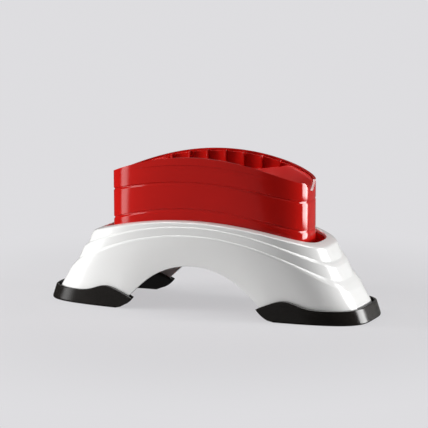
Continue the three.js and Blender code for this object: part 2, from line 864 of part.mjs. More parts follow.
function linerPlate(side) {
  const near = side * linerInsideEdge.halfLength;
  const middle = near + side * linerPlateRun;
  const far = middle + side * linerPlateNose;
  const shape = new THREE.Shape();
  shape.moveTo(near, -linerPlateHalfWidth);
  shape.lineTo(middle, -linerPlateHalfWidth);
  shape.lineTo(far, -linerPlateNoseHalfWidth);
  shape.lineTo(far, linerPlateNoseHalfWidth);
  shape.lineTo(middle, linerPlateHalfWidth);
  shape.lineTo(near, linerPlateHalfWidth);
  shape.closePath();
  return prismAlongZ(shape, linerBottom, linerPlateTop);
}

function wellLiner() {
  const top = lowered(rimInside, seatGap);
  const wall = { ...linerOutsideEdge, crown: top.crown, tip: heightOn(top, linerOutsideEdge.halfLength) };
  const flange = { ...grown(linerOutsideEdge, linerFlangeRun), crown: top.crown };
  flange.tip = heightOn(top, flange.halfLength);
  const outside = loft([ring(levelAt(wall, linerBottom)), ring(wall)]);
  const collar = loft([ring(lowered(flange, linerFlangeThickness)), ring(flange)]);
  const inside = loft([
    ring(levelAt(linerInsideEdge, linerBottom - overrun)),
    ring(levelAt(linerInsideEdge, rimCrown + overrun)),
  ]);
  const railTop = rimTip - linerRailTopDrop;
  const railNear = cradleHalfLength + slideGap;
  const rails = [];
  const pads = [];
  for (const side of [-1, 1]) {
    for (const flank of [-1, 1]) {
      const inner = flank * (linerRailPlace - linerRailThickness / 2);
      const outer = flank * (linerRailPlace + linerRailThickness / 2);
      const [lowY, highY] = [Math.min(inner, outer), Math.max(inner, outer)];
      rails.push(endBox(side, railNear, linerOutsideEdge.halfLength, lowY, highY, linerBottom, railTop));
      const padNear = flank * (cradleHalfWidth + slideGap);
      const padFar = flank * linerOutsideEdge.halfWidth;
      const [padLow, padHigh] = [Math.min(padNear, padFar), Math.max(padNear, padFar)];
      const start = linerPadPlace - linerPadWidth / 2;
      pads.push(endBox(side, start, start + linerPadWidth, padLow, padHigh, linerBottom, railTop));
    }
  }
  const holes = [...bossPlaces, ...keeperScrewPlaces].map(({ x, y }) =>
    uprightCylinder(x, y, linerBottom - overrun, linerPlateTop + overrun, holeRadius),
  );
  const halfWidth = linerOutsideEdge.halfWidth + overrun;
  const archRise = stopThickness + seatGap;
  const arch = archShape(archCentreHeight, archRadius + archRise);
  return outside
    .add(collar)
    .subtract(inside)
    .add(union(rails))
    .add(union(pads))
    .add(linerPlate(-1).subtract(inside))
    .add(linerPlate(1).subtract(inside))
    .subtract(prismAlongY(arch, -halfWidth, halfWidth))
    .subtract(union(holes));
}

// Slide bolts and keepers

const boltTip = cradleHalfLength + cradleFootReach + boltTipGap;
const boltTongueTop = cradleFootHeight - seatGap;
const boltBottom = boltTongueTop - boltTongueThickness;
const boltBodyTop = linerBottom - seatGap;
const boltBodyStart = boltTip + boltTravel + boltTipGap;
const boltBodyEnd = boltBodyStart + boltBodyLength;
const keeperStart = boltBodyStart + keeperSetback;
const keeperEnd = keeperStart + keeperLength;
const keeperChannelHalf = boltHalfWidth + seatGap;
const keeperOuterHalf = keeperChannelHalf + keeperWall;
const keeperScrewSide = keeperOuterHalf + keeperEarWidth / 2;
const keeperScrewPlaces = [];
for (const side of [-1, 1]) {
  for (const flank of [-1, 1]) {
    const along = (side * (keeperStart + keeperEnd)) / 2;
    keeperScrewPlaces.push(new THREE.Vector2(along, flank * keeperScrewSide));
  }
}

function slideBolt(side) {
  const width = [-boltHalfWidth, boltHalfWidth];
  const tabWidth = [-boltTabHalfWidth, boltTabHalfWidth];
  const tabStart = boltBodyEnd - boltTabThickness;
  return union([
    endBox(side, boltTip, boltBodyEnd, ...width, boltBottom, boltTongueTop),
    endBox(side, boltBodyStart, boltBodyEnd, ...width, boltBottom, boltBodyTop),
    endBox(side, tabStart, boltBodyEnd, ...tabWidth, boltBottom - boltTabDrop, boltBodyTop),
  ]);
}

function boltKeeper(side) {
  const top = linerBottom - seatGap;
  const channelBottom = boltBottom - seatGap;
  const earHalf = keeperOuterHalf + keeperEarWidth;
  const outerWidth = [-keeperOuterHalf, keeperOuterHalf];
  const channelWidth = [-keeperChannelHalf, keeperChannelHalf];
  const cutEnds = [keeperStart - overrun, keeperEnd + overrun];
  const holes = keeperScrewPlaces
    .filter(({ x }) => Math.sign(x) === side)
    .map(({ x, y }) => uprightCylinder(x, y, top - keeperWall - overrun, top + overrun, holeRadius));
  return endBox(side, keeperStart, keeperEnd, ...outerWidth, channelBottom - keeperWall, top)
    .add(endBox(side, keeperStart, keeperEnd, -earHalf, earHalf, top - keeperWall, top))
    .subtract(endBox(side, ...cutEnds, ...channelWidth, channelBottom, top + overrun))
    .subtract(union(holes));
}

// A pan head screw whose head's upper face lies at a height, with its shank pointing up.
function screw({ x, y }, seatHeight, length) {
  const headTop = seatHeight - seatGap;
  const headBottom = headTop - screwHeadHeight;
  const head = uprightCylinder(x, y, headBottom, headTop, screwHeadRadius);
  const shank = uprightCylinder(x, y, headTop - screwHeadHeight / 2, headTop + length, screwShankRadius);
  return head.add(shank);
}

// Materials

function plastic(color, roughness) {
  return new THREE.MeshStandardMaterial({ color, roughness, metalness: 0 });
}

const whitePlastic = plastic(0xe9e9e7, 0.25);
const redPlastic = plastic(0xb81a15, 0.28);
const blackRubber = plastic(0x1d1b1a, 0.55);
const blackNylon = plastic(0x2b2b2d, 0.5);
const zincSteel = new THREE.MeshStandardMaterial({ color: 0xa7abb0, roughness: 0.35, metalness: 1 });

// Assembly

const base = new THREE.Group();
base.add(
  meshFrom("base_shell", baseShell(), whitePlastic),
  meshFrom("well_liner", wellLiner(), redPlastic),
  meshFrom("boot_left", boot(-1), blackRubber),
  meshFrom("boot_right", boot(1), blackRubber),
  meshFrom("bolt_keeper_left", boltKeeper(-1), blackNylon),
  meshFrom("bolt_keeper_right", boltKeeper(1), blackNylon),
);

const cornerNames = ["left_front", "left_back", "right_front", "right_back"];
cornerNames.forEach((corner, i) => {
  const keeperSeat = linerBottom - seatGap - keeperWall;
  base.add(
    meshFrom(`liner_screw_${corner}`, screw(bossPlaces[i], linerBottom, screwLength), zincSteel),
    meshFrom(
      `keeper_screw_${corner}`,
      screw(keeperScrewPlaces[i], keeperSeat, keeperScrewLength),
      zincSteel,
    ),
  );
});

const cradle = new THREE.Group();
cradle.add(
  meshFrom("cradle_sleeve", cradleSleeve(), redPlastic),
  meshFrom("tyre_saddle", tyreSaddle(), redPlastic),
);
cornerNames.forEach((corner, i) => {
  const seat = cradleShelfHeight;
  cradle.add(meshFrom(`saddle_screw_${corner}`, screw(saddleScrewPlaces[i], seat, screwLength), zincSteel));
});

const bolts = new THREE.Group();
bolts.add(
  meshFrom("bolt_left", slideBolt(-1), blackNylon),
  meshFrom("bolt_right", slideBolt(1), blackNylon),
);

const riser = new THREE.Group();
riser.add(base, cradle, bolts);

export default riser;
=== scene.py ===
"""A riser block with a sliding cradle, dressed for rendering.

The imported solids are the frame, and each piece here stands for one or more of them, with the same sizes: a
moulded base on two rubber boots, and a ribbed cradle that slides up and down in it. Metres, +Z up, +X along
the block, and the front face looks to -Y.
"""
import math
from functools import partial
from typing import NamedTuple

import bmesh
import bpy
import numpy as np
from bpy.props import FloatProperty, FloatVectorProperty, IntProperty, PointerProperty
from mathutils import Matrix, Vector


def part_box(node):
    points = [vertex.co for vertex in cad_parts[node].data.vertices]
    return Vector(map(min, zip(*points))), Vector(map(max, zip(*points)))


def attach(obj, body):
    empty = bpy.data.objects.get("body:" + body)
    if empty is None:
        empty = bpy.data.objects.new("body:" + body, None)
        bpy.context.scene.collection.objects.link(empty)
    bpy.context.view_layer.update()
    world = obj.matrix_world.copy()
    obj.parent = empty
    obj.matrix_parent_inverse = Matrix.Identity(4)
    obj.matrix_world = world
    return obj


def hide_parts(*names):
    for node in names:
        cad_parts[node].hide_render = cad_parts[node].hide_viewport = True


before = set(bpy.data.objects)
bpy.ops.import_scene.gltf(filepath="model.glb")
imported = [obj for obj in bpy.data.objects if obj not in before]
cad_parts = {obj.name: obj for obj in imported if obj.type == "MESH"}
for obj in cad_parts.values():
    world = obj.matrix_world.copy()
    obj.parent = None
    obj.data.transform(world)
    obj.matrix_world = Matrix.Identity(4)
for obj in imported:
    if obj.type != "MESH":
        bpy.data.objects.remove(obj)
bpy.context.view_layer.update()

bl_info = {
    "name": "Riser block",
    "version": (1, 0, 0),
    "blender": (4, 5, 0),
    "location": "3D View > Sidebar > Riser block",
    "description": "Builds a two-legged riser block with a sliding cradle, in rubber boots",
    "category": "Add Mesh",
}

# How finely surfaces are divided, joined and rounded
QUADRANT_STEPS = 72
FINE_STEPS = 1440
BOOT_STEPS = 4 * QUADRANT_STEPS
TURN_AS_LENGTH = 0.06
ROUND_STEPS = 3
BEVEL_STEPS = 2
POST_SIDES = 32
SOLVER_STEPS = 30
HALF_SHARE = 0.48
ROUND_PROFILE = 0.5
TINY = 1e-9
MERGE_REACH = 1e-6
SMOOTH_ANGLE = math.radians(38)
FLAT_ANGLE = math.radians(1)


class Line(NamedTuple):
    """An edge line: a superellipse in plan, whose height falls from its crown to its tips at the ends."""

    half_length: float
    half_width: float
    squareness: float
    crown: float
    tip: float


class Step(NamedTuple):
    """The way from an edge line to the next: out at its ends and sides, down at its crown and tips."""

    end_run: float = 0
    side_run: float = 0
    crown_drop: float = 0
    tip_drop: float = 0


class Arch(NamedTuple):
    """A round crown about a centre height, with straight sides that leave it at a turn from upright."""

    centre: float
    radius: float
    turn: float


def step_out(line, step):
    return Line(
        line.half_length + step.end_run,
        line.half_width + step.side_run,
        line.squareness,
        line.crown - step.crown_drop,
        line.tip - step.tip_drop,
    )


def grown(line, by):
    return step_out(line, Step(end_run=by, side_run=by))


def lowered(line, by):
    return step_out(line, Step(crown_drop=by, tip_drop=by))


def level_at(line, height):
    return line._replace(crown=height, tip=height)


# Sizes that the solids give, in metres
SEAT_GAP = 0.0003
WHEEL_RADIUS = 0.334
TYRE_BOTTOM = 0.1087
TYRE_HALF_WIDTH = 0.0125

CRADLE_EDGE = Line(half_length=0.1081, half_width=0.03905, squareness=3.24, crown=0.1588, tip=0.1357)
CRADLE_WALL = 0.0026
CRADLE_TRAVEL = 0.0274
CRADLE_CREASE_STEP = Step(crown_drop=0.0074, tip_drop=0.0024)
BAND_LEAN = 0.0012
BAND_FULL_REACH = 0.045
BAND_FADE_REACH = 0.080
FIRST_GROOVE_STEP = Step(crown_drop=0.0258, tip_drop=0.0188)
NEXT_GROOVE_STEP = Step(crown_drop=CRADLE_TRAVEL, tip_drop=0.0299)
UPPER_GROOVE = step_out(CRADLE_EDGE, FIRST_GROOVE_STEP)
LOWER_GROOVE = step_out(UPPER_GROOVE, NEXT_GROOVE_STEP)
GROOVE_UPPER_HALF = 0.0012
GROOVE_STEP = 0.0004
GROOVE_LOWER_HALF = 0.0017
FOOT_HEIGHT = 0.033
FOOT_THICKNESS = 0.005
FOOT_REACH = 0.0099
FOOT_INSET = 0.008
FOOT_HALF_WIDTH = 0.013
FOOT_CORNER = 0.003
SHELF_HEIGHT = 0.060
SHELF_THICKNESS = 0.003
SHELF_REACH = 0.020
NOTCH_HALF_WIDTH = 0.017
NOTCH_DEPTH = 0.0106
NOTCH_FLOOR_GAP = 0.0007
NOTCH_LENGTH = 0.020
SADDLE_WALL = 0.0017
SADDLE_TOP_DROP = 0.0024
SADDLE_EDGE_LIFT = 0.0015
TROUGH_SKIN = 0.0028
TROUGH_SLOPE = math.radians(52)
TROUGH_ARC_TURN = math.radians(50)

WELL_EDGE = Line(half_length=0.1190, half_width=0.0407, squareness=3.34, crown=0.0954, tip=0.0774)
RIM_STEP = Step(end_run=0.0107, side_run=0.0089, crown_drop=0.0014, tip_drop=0.0048)
UPPER_FACE_STEP = Step(end_run=0.0063, side_run=0.0002, crown_drop=0.0042, tip_drop=0.0141)
UPPER_LEDGE_STEP = Step(end_run=0.0054, side_run=0.0011, crown_drop=0.0013, tip_drop=0.0050)
MIDDLE_FACE_STEP = Step(end_run=0.0066, side_run=0.0001, crown_drop=0.0073, tip_drop=0.0135)
LOWER_LEDGE_STEP = Step(end_run=0.0085, side_run=0.0010, crown_drop=0.0015, tip_drop=0.0097)
SKIRT_STEP = Step(end_run=0.0161, side_run=0.0002)
BASE_CREASE_STEP = Step(crown_drop=0.0092, tip_drop=0.0150)
SHELL_STEP = Step(end_run=-0.0033, side_run=-0.0030, crown_drop=0.0033, tip_drop=0.0013)
RIM_EDGE = step_out(WELL_EDGE, RIM_STEP)
UPPER_FACE_FOOT = step_out(RIM_EDGE, UPPER_FACE_STEP)
UPPER_LEDGE_EDGE = step_out(UPPER_FACE_FOOT, UPPER_LEDGE_STEP)
MIDDLE_FACE_FOOT = step_out(UPPER_LEDGE_EDGE, MIDDLE_FACE_STEP)
LOWER_LEDGE_EDGE = step_out(MIDDLE_FACE_FOOT, LOWER_LEDGE_STEP)
SKIRT_HEIGHT = 0.003
SKIRT_SQUARENESS = 4
SKIRT_PLAN = step_out(LOWER_LEDGE_EDGE, SKIRT_STEP)._replace(squareness=SKIRT_SQUARENESS)
SKIRT_EDGE = level_at(SKIRT_PLAN, SKIRT_HEIGHT)
CREASE_LINE = step_out(LOWER_LEDGE_EDGE, BASE_CREASE_STEP)
CREASE_BULGE = 0.0008
CREASE_FULL_REACH = 0.055
CREASE_FADE_REACH = 0.105
CREASE_HIGHEST_SHARE = 0.05
CREASE_LOWEST_SHARE = 0.9

BASE_ARCH = Arch(centre=-0.036, radius=0.086, turn=math.radians(42.4))
STOP_THICKNESS = 0.0022
STOP_HALF_LENGTH = 0.030
STOP_REACH = 0.0154
STOP_WALL_INSET = 0.0015
CRADLE_ARCH = Arch(
    BASE_ARCH.centre + CRADLE_TRAVEL, BASE_ARCH.radius + STOP_THICKNESS + SEAT_GAP, BASE_ARCH.turn
)

BOOT_SOLE = 0.0027
BOOT_WALL = 0.0019
BOOT_INNER_WALL = 0.002
BOOT_FOOT_STEP = Step(end_run=0.0042, side_run=0.00215)
BOOT_FOOT = level_at(step_out(SKIRT_EDGE, BOOT_FOOT_STEP), 0)
BOOT_LIP_DEPTH = 0.0023
BOOT_LIP_TURN = math.radians(49)
LIP_ARCH = Arch(BASE_ARCH.centre, BASE_ARCH.radius - BOOT_LIP_DEPTH, BOOT_LIP_TURN)
GROOVE_ARCH = BASE_ARCH._replace(radius=BASE_ARCH.radius - SEAT_GAP)
BOOT_LEAN_SHARE = 0.36
BOOT_SOLE_ROUND = 0.0018
BOOT_HEEL_ROUND = 0.009
BOOT_TOP = 0.015
BOOT_CREST_RISE = 0.0075
BOOT_CREST_PLACE = 0.099
BOOT_CREST_SPREAD = 0.018
BOOT_TIP_DROP = 0.0035
BOOT_TIP_RUN = 0.0298
BOOT_TIP_POWER = 4

BOSS_RADIUS = 0.0037
BOSS_BOTTOM = 0.0416
BOSS_PLACE = (0.1265, 0.0225)
SADDLE_SCREW_PLACE = (0.095, 0.014)

# Small forms that the scene adds to the solids
SHOULDER_RISE = 0.0004
RIB_BEVEL = 0.0003
LINER_BEVEL = 0.0002
BOLT_BEVEL = 0.0006
KEEPER_BEVEL = 0.0004
SADDLE_TOP_ROUND = 0.0005
SADDLE_FOOT_ROUND = 0.0004


def inside_of(line):
    """The same line on the inside of the base's wall."""
    return step_out(line, SHELL_STEP)


LOWER_LEDGE_INSIDE = inside_of(LOWER_LEDGE_EDGE)
SKIRT_INSIDE = level_at(inside_of(SKIRT_EDGE), SKIRT_HEIGHT)
RIM_INSIDE = inside_of(RIM_EDGE)


# Settings


def length(name, description, default):
    return FloatProperty(
        name=name, description=description, default=default, min=0, unit="LENGTH", subtype="DISTANCE"
    )


def colour(name, description, default):
    return FloatVectorProperty(
        name=name, description=description, default=default, min=0, max=1, size=3, subtype="COLOR"
    )


def share(name, description, default):
    return FloatProperty(name=name, description=description, default=default, min=0, max=1, subtype="FACTOR")


def watts(name, description, default):
    return FloatProperty(name=name, description=description, default=default, min=0, unit="POWER")


class RiserBaseSettings(bpy.types.PropertyGroup):
    """The moulded base's edges."""

    rim_round: length("Rim rounding", "Reach of the rounding on both edges of the rim", 0.0022)
    ledge_round: length("Ledge rounding", "Reach of the rounding on the edges of the ledges", 0.0006)
    crease_round: length("Crease rounding", "Reach of the rounding on the crease of the long faces", 0.003)
    edge_round: length("Edge rounding", "Reach of the rounding on the lower edge", 0.0006)


class RiserCradleSettings(bpy.types.PropertyGroup):
    """The cradle's grooves, lip and ribs."""

    groove_depth: length("Groove depth", "Depth of the two grooves round the sleeve", 0.0009)
    lip_round: length("Lip rounding", "Reach of the rounding on the sleeve's top edge", 0.0014)
    rib_pitch: length("Rib pitch", "Distance between the saddle's ribs", 0.0203)
    rib_thickness: length("Rib thickness", "Thickness of a rib", 0.002)
    rib_depth: length("Rib depth", "How far a rib stands in from the saddle's wall", 0.005)
    rib_top_drop: length("Rib top drop", "How far a rib's top lies below the sleeve's edge", 0.0012)
    ribs_each_side: IntProperty(
        name="Ribs each side", description="Ribs on each side of the middle one", default=4, min=0
    )


class RiserBootSettings(bpy.types.PropertyGroup):
    """The rubber boots' edges."""

    sole_round: length("Sole rounding", "Reach of the rounding on both edges of the sole", 0.0007)
    lip_round: length("Lip rounding", "Reach of the rounding along the top edge", 0.0008)


class RiserFinishSettings(bpy.types.PropertyGroup):
    """Colours and gloss of the materials."""

    white: colour("White plastic", "Colour of the base", (0.79, 0.79, 0.78))
    red: colour("Red plastic", "Colour of the cradle and the liner", (0.50, 0.0085, 0.006))
    rubber: colour("Black rubber", "Colour of the boots", (0.009, 0.0078, 0.0068))
    nylon: colour("Black nylon", "Colour of the bolts and their keepers", (0.020, 0.020, 0.022))
    zinc: colour("Zinc", "Colour of the screws", (0.55, 0.57, 0.60))
    white_roughness: share("White roughness", "Roughness of the white plastic", 0.16)
    red_roughness: share("Red roughness", "Roughness of the red plastic", 0.12)
    trough_roughness: share("Trough roughness", "Roughness of the saddle's trough", 0.5)
    rubber_roughness: share("Rubber roughness", "Roughness of the boots", 0.2)
    nylon_roughness: share("Nylon roughness", "Roughness of the bolts and their keepers", 0.45)
    zinc_roughness: share("Zinc roughness", "Roughness of the screws", 0.33)
    grain: length("Grain", "Size of the moulded grain", 0.0009)


class RiserStageSettings(bpy.types.PropertyGroup):
    """The floor and the light."""

    floor: colour("Floor", "Colour of the floor", (0.79, 0.785, 0.80))
    backdrop: colour("Backdrop", "Plain tone that shows behind the object", (0.73, 0.725, 0.745))
    surround: share("Surround", "Brightness of the even light from all round", 0.08)
    dark_room: share("Dark room", "What gloss shows of the room between the panels", 0.02)
    shadow_fill: share("Shadow fill", "How much of the plain tone shows through the shadow", 0.7)
    left_light: watts("Left light", "Power of the left soft box", 12.0)
    front_light: watts("Front light", "Power of the front soft box", 2.85)
    right_light: watts("Right light", "Power of the right soft box", 10.8)
    top_light: FloatProperty(
        name="Top light", description="Strength of the light from above", default=1.02, min=0
    )


class RiserSettings(bpy.types.PropertyGroup):
    """All that can be changed."""

    base: PointerProperty(type=RiserBaseSettings)
    cradle: PointerProperty(type=RiserCradleSettings)
    boots: PointerProperty(type=RiserBootSettings)
    finish: PointerProperty(type=RiserFinishSettings)
    stage: PointerProperty(type=RiserStageSettings)


# Rings and surfaces


def plan_points(line, angles):
    power = 2 / line.squareness
    across, along = np.sin(angles), np.cos(angles)
    x = line.half_length * np.sign(along) * np.abs(along) ** power
    y = line.half_width * np.sign(across) * np.abs(across) ** power
    return x, y


def fallen(crown, tip, fall):
    """A height that has gone a share of the way from its crown to its tip."""
    return crown - (crown - tip) * fall


def height_on(line, x):
    return fallen(line.crown, line.tip, (x / line.half_length) ** 2)


def full_turn_angles():
    """Angles round a plan, closer together where it turns."""
    fine = np.linspace(0, math.pi / 2, FINE_STEPS + 1)
    x, y = plan_points(CRADLE_EDGE, fine)
    step_x, step_y = np.diff(x), np.diff(y)
    heading = np.arctan2(step_y, step_x)
    turn = np.abs(np.diff(heading, prepend=math.pi / 2))
    measure = np.concatenate([[0], np.cumsum(np.hypot(step_x, step_y) + TURN_AS_LENGTH * turn)])
    rising = np.interp(np.linspace(0, measure[-1], QUADRANT_STEPS + 1)[:-1], measure, fine)
    falling = np.concatenate([[math.pi / 2], rising[:0:-1]])
    half = np.concatenate([rising, math.pi - falling])
    return np.concatenate([half, half + math.pi])


RING_ANGLES = full_turn_angles()


def points_at(x, y, z):
    return np.stack(np.broadcast_arrays(x, y, z), axis=1)


def ring(line):
    x, y = plan_points(line, RING_ANGLES)
    return points_at(x, y, height_on(line, x))


def at_height(points, height):
    """The same points, moved up or down to a height."""
    return points_at(points[:, 0], points[:, 1], height)


def eased(part):
    """A share that leaves 0 and comes to 1 smoothly."""
    return part * part * (3 - 2 * part)


def fade(distance, full_reach, fade_reach):
    """1 up to the full reach, 0 from the fade reach on, and smooth between them."""
    return 1 - eased(np.clip((distance - full_reach) / (fade_reach - full_reach), 0, 1))


def arch_top(arch, x):
    """The height of an arch's opening at a distance along the block."""
    reach = np.abs(x)
    crown = arch.centre + np.sqrt(np.maximum(arch.radius**2 - reach**2, 0))
    side = arch.centre + (arch.radius - reach * math.sin(arch.turn)) / math.cos(arch.turn)
    return np.where(reach < arch.radius * math.sin(arch.turn), crown, side)


def arch_side(arch, height):
    """How far an arch's straight side stands from the middle at a height."""
    return (arch.radius - (height - arch.centre) * math.cos(arch.turn)) / math.sin(arch.turn)


def last_share(count, is_past):
    """The greatest share of each of some ways that isn't past a limit, found by halving."""
    low, high = np.zeros(count), np.ones(count)
    for _ in range(SOLVER_STEPS):
        middle = (low + high) / 2
        past = is_past(middle)
        low, high = np.where(past, low, middle), np.where(past, middle, high)
    return low


def cut_by_arch(upper, lower, arch):
    """Where the way from the upper points to the lower ones meets an arch, or the lower points."""

    def is_inside(part):
        points = upper + part[:, None] * (lower - upper)
        return points[:, 2] < arch_top(arch, points[:, 0])

    count = len(upper)
    part = np.where(is_inside(np.ones(count)), last_share(count, is_inside), 1)
    return upper + part[:, None] * (lower - upper)


def shortened(leg, reach):
    """A leg cut down to a reach, and to less than half of its own length."""
    size = np.maximum(np.linalg.norm(leg, axis=1, keepdims=True), TINY)
    return leg * np.minimum(reach / size, HALF_SHARE)


def rounded(corners):
    """Rows of points through corners that close on themselves, each drawn round by its own reach."""
    rows = []
    for i, (point, reach) in enumerate(corners):
        if not reach:
            rows.append(point)
            continue
        before = shortened(corners[i - 1][0] - point, reach)
        after = shortened(corners[(i + 1) % len(corners)][0] - point, reach)
        for part in np.linspace(0, 1, ROUND_STEPS + 1):
            rows.append(point + (1 - part) ** 2 * before + part**2 * after)
    return np.array(rows)


def closed_faces(row_count, ring_count):
    """Faces of a surface that closes on itself both ways."""
    index = np.arange(row_count * ring_count).reshape(row_count, ring_count)
    across = np.roll(index, -1, axis=1)
    corners = [index, across, np.roll(across, -1, axis=0), np.roll(index, -1, axis=0)]
    return np.stack(corners, axis=-1).reshape(-1, 4).tolist()


def ring_skin(corners):
    """A closed surface round the block, through a section's corners."""
    rows = rounded(corners)
    return rows.reshape(-1, 3), closed_faces(rows.shape[0], rows.shape[1])


def channel_skin(rows):
    """A surface through closed sections that runs from one end to the other, with a face on each end."""
    row_count, section_count = rows.shape[:2]
    index = np.arange(row_count * section_count).reshape(row_count, section_count)
    below = np.roll(index, -1, axis=0)
    corners = [index[:, :-1], index[:, 1:], below[:, 1:], below[:, :-1]]
    faces = np.stack(corners, axis=-1).reshape(-1, 4).tolist()
    faces.append(index[:, 0].tolist())
    faces.append(index[::-1, -1].tolist())
    return rows.reshape(-1, 3), faces


def plate_skin(outline, low, high):
    """An upright plate on an outline in X and Y. The high side may have a height for each point."""
    outline = np.array(outline)
    count = len(outline)
    heights = [np.full(count, low), np.full(count, high)]
    points = np.concatenate([np.column_stack([outline, height]) for height in heights])
    sides = [[i, (i + 1) % count, (i + 1) % count + count, i + count] for i in range(count)]
    return points, [*sides, list(range(count))[::-1], list(range(count, 2 * count))]


def mesh_from(name, skins):
    """One mesh of closed skins, each with its faces turned outwards."""
    shape = bmesh.new()
    for points, faces in skins:
        part = bmesh.new()
        verts = [part.verts.new(point) for point in points]
        for face in faces:
            part.faces.new([verts[i] for i in face])
        bmesh.ops.remove_doubles(part, verts=part.verts, dist=MERGE_REACH)
        bmesh.ops.dissolve_degenerate(part, edges=part.edges, dist=MERGE_REACH)
        bmesh.ops.recalc_face_normals(part, faces=part.faces)
        if part.calc_volume(signed=True) < 0:
            bmesh.ops.reverse_faces(part, faces=part.faces)
        held = bpy.data.meshes.new("part")
        part.to_mesh(held)
        part.free()
        shape.from_mesh(held)
        bpy.data.meshes.remove(held)
    mesh = bpy.data.meshes.new(name)
    shape.to_mesh(mesh)
    shape.free()
    return mesh


def smooth(mesh):
    mesh.shade_smooth()
    mesh.set_sharp_from_angle(angle=SMOOTH_ANGLE)


def put_in_scene(name, data):
    thing = bpy.data.objects.new(name, data)
    bpy.context.scene.collection.objects.link(thing)
    return thing


def shown(name, mesh, material, body, nodes):
    """Puts a mesh in the scene as a piece that rides on a body and stands for CAD nodes."""
    mesh.name = name
    mesh.materials.clear()
    mesh.materials.append(material)
    smooth(mesh)
    piece = put_in_scene(name, mesh)
    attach(piece, body)
    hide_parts(*nodes)
    return piece


def bevelled(mesh, width, segments=BEVEL_STEPS):
    """The mesh with its sharp edges bevelled."""
    shape = bmesh.new()
    shape.from_mesh(mesh)
    sharp = [edge for edge in shape.edges if edge.calc_face_angle(0) > SMOOTH_ANGLE]
    bmesh.ops.bevel(
        shape,
        geom=sharp,
        offset=width,
        segments=segments,
        profile=ROUND_PROFILE,
        affect="EDGES",
        clamp_overlap=True,
    )
    shape.to_mesh(mesh)
    shape.free()
    return mesh


def merged_copy(node):
    """A copy of a CAD node's mesh with its loose triangles joined and its flat faces whole."""
    shape = bmesh.new()
    shape.from_mesh(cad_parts[node].data)
    bmesh.ops.remove_doubles(shape, verts=shape.verts, dist=MERGE_REACH)
    bmesh.ops.dissolve_limit(
        shape, angle_limit=FLAT_ANGLE, verts=shape.verts, edges=shape.edges, delimit={"NORMAL"}
    )
    mesh = bpy.data.meshes.new(node)
    shape.to_mesh(mesh)
    shape.free()
    return mesh


# Node trees

NODE_COLUMNS = 12
NODE_SPACING = (220, -190)


def sign(operation, turned=False):
    """What a sign does between a field and another value, or with the two turned round."""

    def worked_out(field, other):
        return calc(operation, other, field) if turned else calc(operation, field, other)

    return worked_out


class Field:
    """A value in a tree, which sums, products, quotients and powers can be written with."""

    def __init__(self, tree, socket):
        self.tree = tree
        self.socket = socket

    __add__, __radd__ = sign("ADD"), sign("ADD", turned=True)
    __sub__, __rsub__ = sign("SUBTRACT"), sign("SUBTRACT", turned=True)
    __mul__, __rmul__ = sign("MULTIPLY"), sign("MULTIPLY", turned=True)
    __truediv__, __rtruediv__ = sign("DIVIDE"), sign("DIVIDE", turned=True)
    __pow__ = sign("POWER")


def plug(tree, value, socket):
    """Gives a socket a field's value, another socket's value or a plain one."""
    if isinstance(value, Field):
        value = value.socket
    if isinstance(value, bpy.types.NodeSocket):
        tree.links.new(value, socket)
    else:
        socket.default_value = value


def set_inputs(tree, node, inputs):
    for name, value in inputs.items():
        plug(tree, value, node.inputs[name])


def add_node(tree, kind, inputs=None, **values):
    """A node in the next free place of a plain grid, with its values and then its inputs set."""
    count = len(tree.nodes)
    node = tree.nodes.new(kind)
    node.location = (NODE_SPACING[0] * (count % NODE_COLUMNS), NODE_SPACING[1] * (count // NODE_COLUMNS))
    for name, value in values.items():
        setattr(node, name, value)
    set_inputs(tree, node, inputs or {})
    return node


def calc(operation, *values):
    """A field worked out from fields and numbers."""
    tree = next(value.tree for value in values if isinstance(value, Field))
    node = add_node(tree, "ShaderNodeMath", dict(enumerate(values)), operation=operation)
    return Field(tree, node.outputs[0])


def smooth_step(value, low, high):
    """0 below the low end, 1 over the high one, and smooth between them."""
    ends = {"Value": value, "From Min": low, "From Max": high}
    node = add_node(value.tree, "ShaderNodeMapRange", ends, interpolation_type="SMOOTHSTEP")
    return Field(value.tree, node.outputs["Result"])


def band(value, low, high, soft):
    """1 between two ends and 0 outside them, with soft flanks."""
    return smooth_step(value, low - soft, low + soft) * (1 - smooth_step(value, high - soft, high + soft))


def vector_of(tree, x, y, z):
    return add_node(tree, "ShaderNodeCombineXYZ", {"X": x, "Y": y, "Z": z}).outputs[0]


def parts_of(tree, vector):
    """The X, Y and Z of a vector, as fields."""
    apart = add_node(tree, "ShaderNodeSeparateXYZ", {0: vector})
    return [Field(tree, apart.outputs[axis]) for axis in "XYZ"]


def new_tree(name, kind, takes, gives):
    """A tree with named inputs and outputs. Gives its inputs as fields, and its output node."""
    tree = bpy.data.node_groups.new(name, kind)
    for side, sockets in (("INPUT", takes), ("OUTPUT", gives)):
        for socket_name, socket_kind in sockets.items():
            tree.interface.new_socket(socket_name, in_out=side, socket_type="NodeSocket" + socket_kind)
    inputs = add_node(tree, "NodeGroupInput").outputs
    fields = {socket.name: Field(tree, socket) for socket in inputs if socket.name}
    return tree, fields, add_node(tree, "NodeGroupOutput")


def new_shape_tree(name, others, sizes):
    """A geometry tree with an input for each size, one for the material and others of their own kinds."""
    takes = {**others, **dict.fromkeys(sizes, "Float"), "Material": "Material"}
    return new_tree(name, "GeometryNodeTree", takes, {"Geometry": "Geometry"})


def read_values(tree, name):
    """The values that a mesh holds under a name."""
    node = add_node(tree, "GeometryNodeInputNamedAttribute", {"Name": name}, data_type="FLOAT")
    return Field(tree, node.outputs["Attribute"])


def moved(tree, geometry, **inputs):
    """Geometry with its points moved to a Position or by an Offset."""
    return add_node(tree, "GeometryNodeSetPosition", {"Geometry": geometry, **inputs}).outputs["Geometry"]


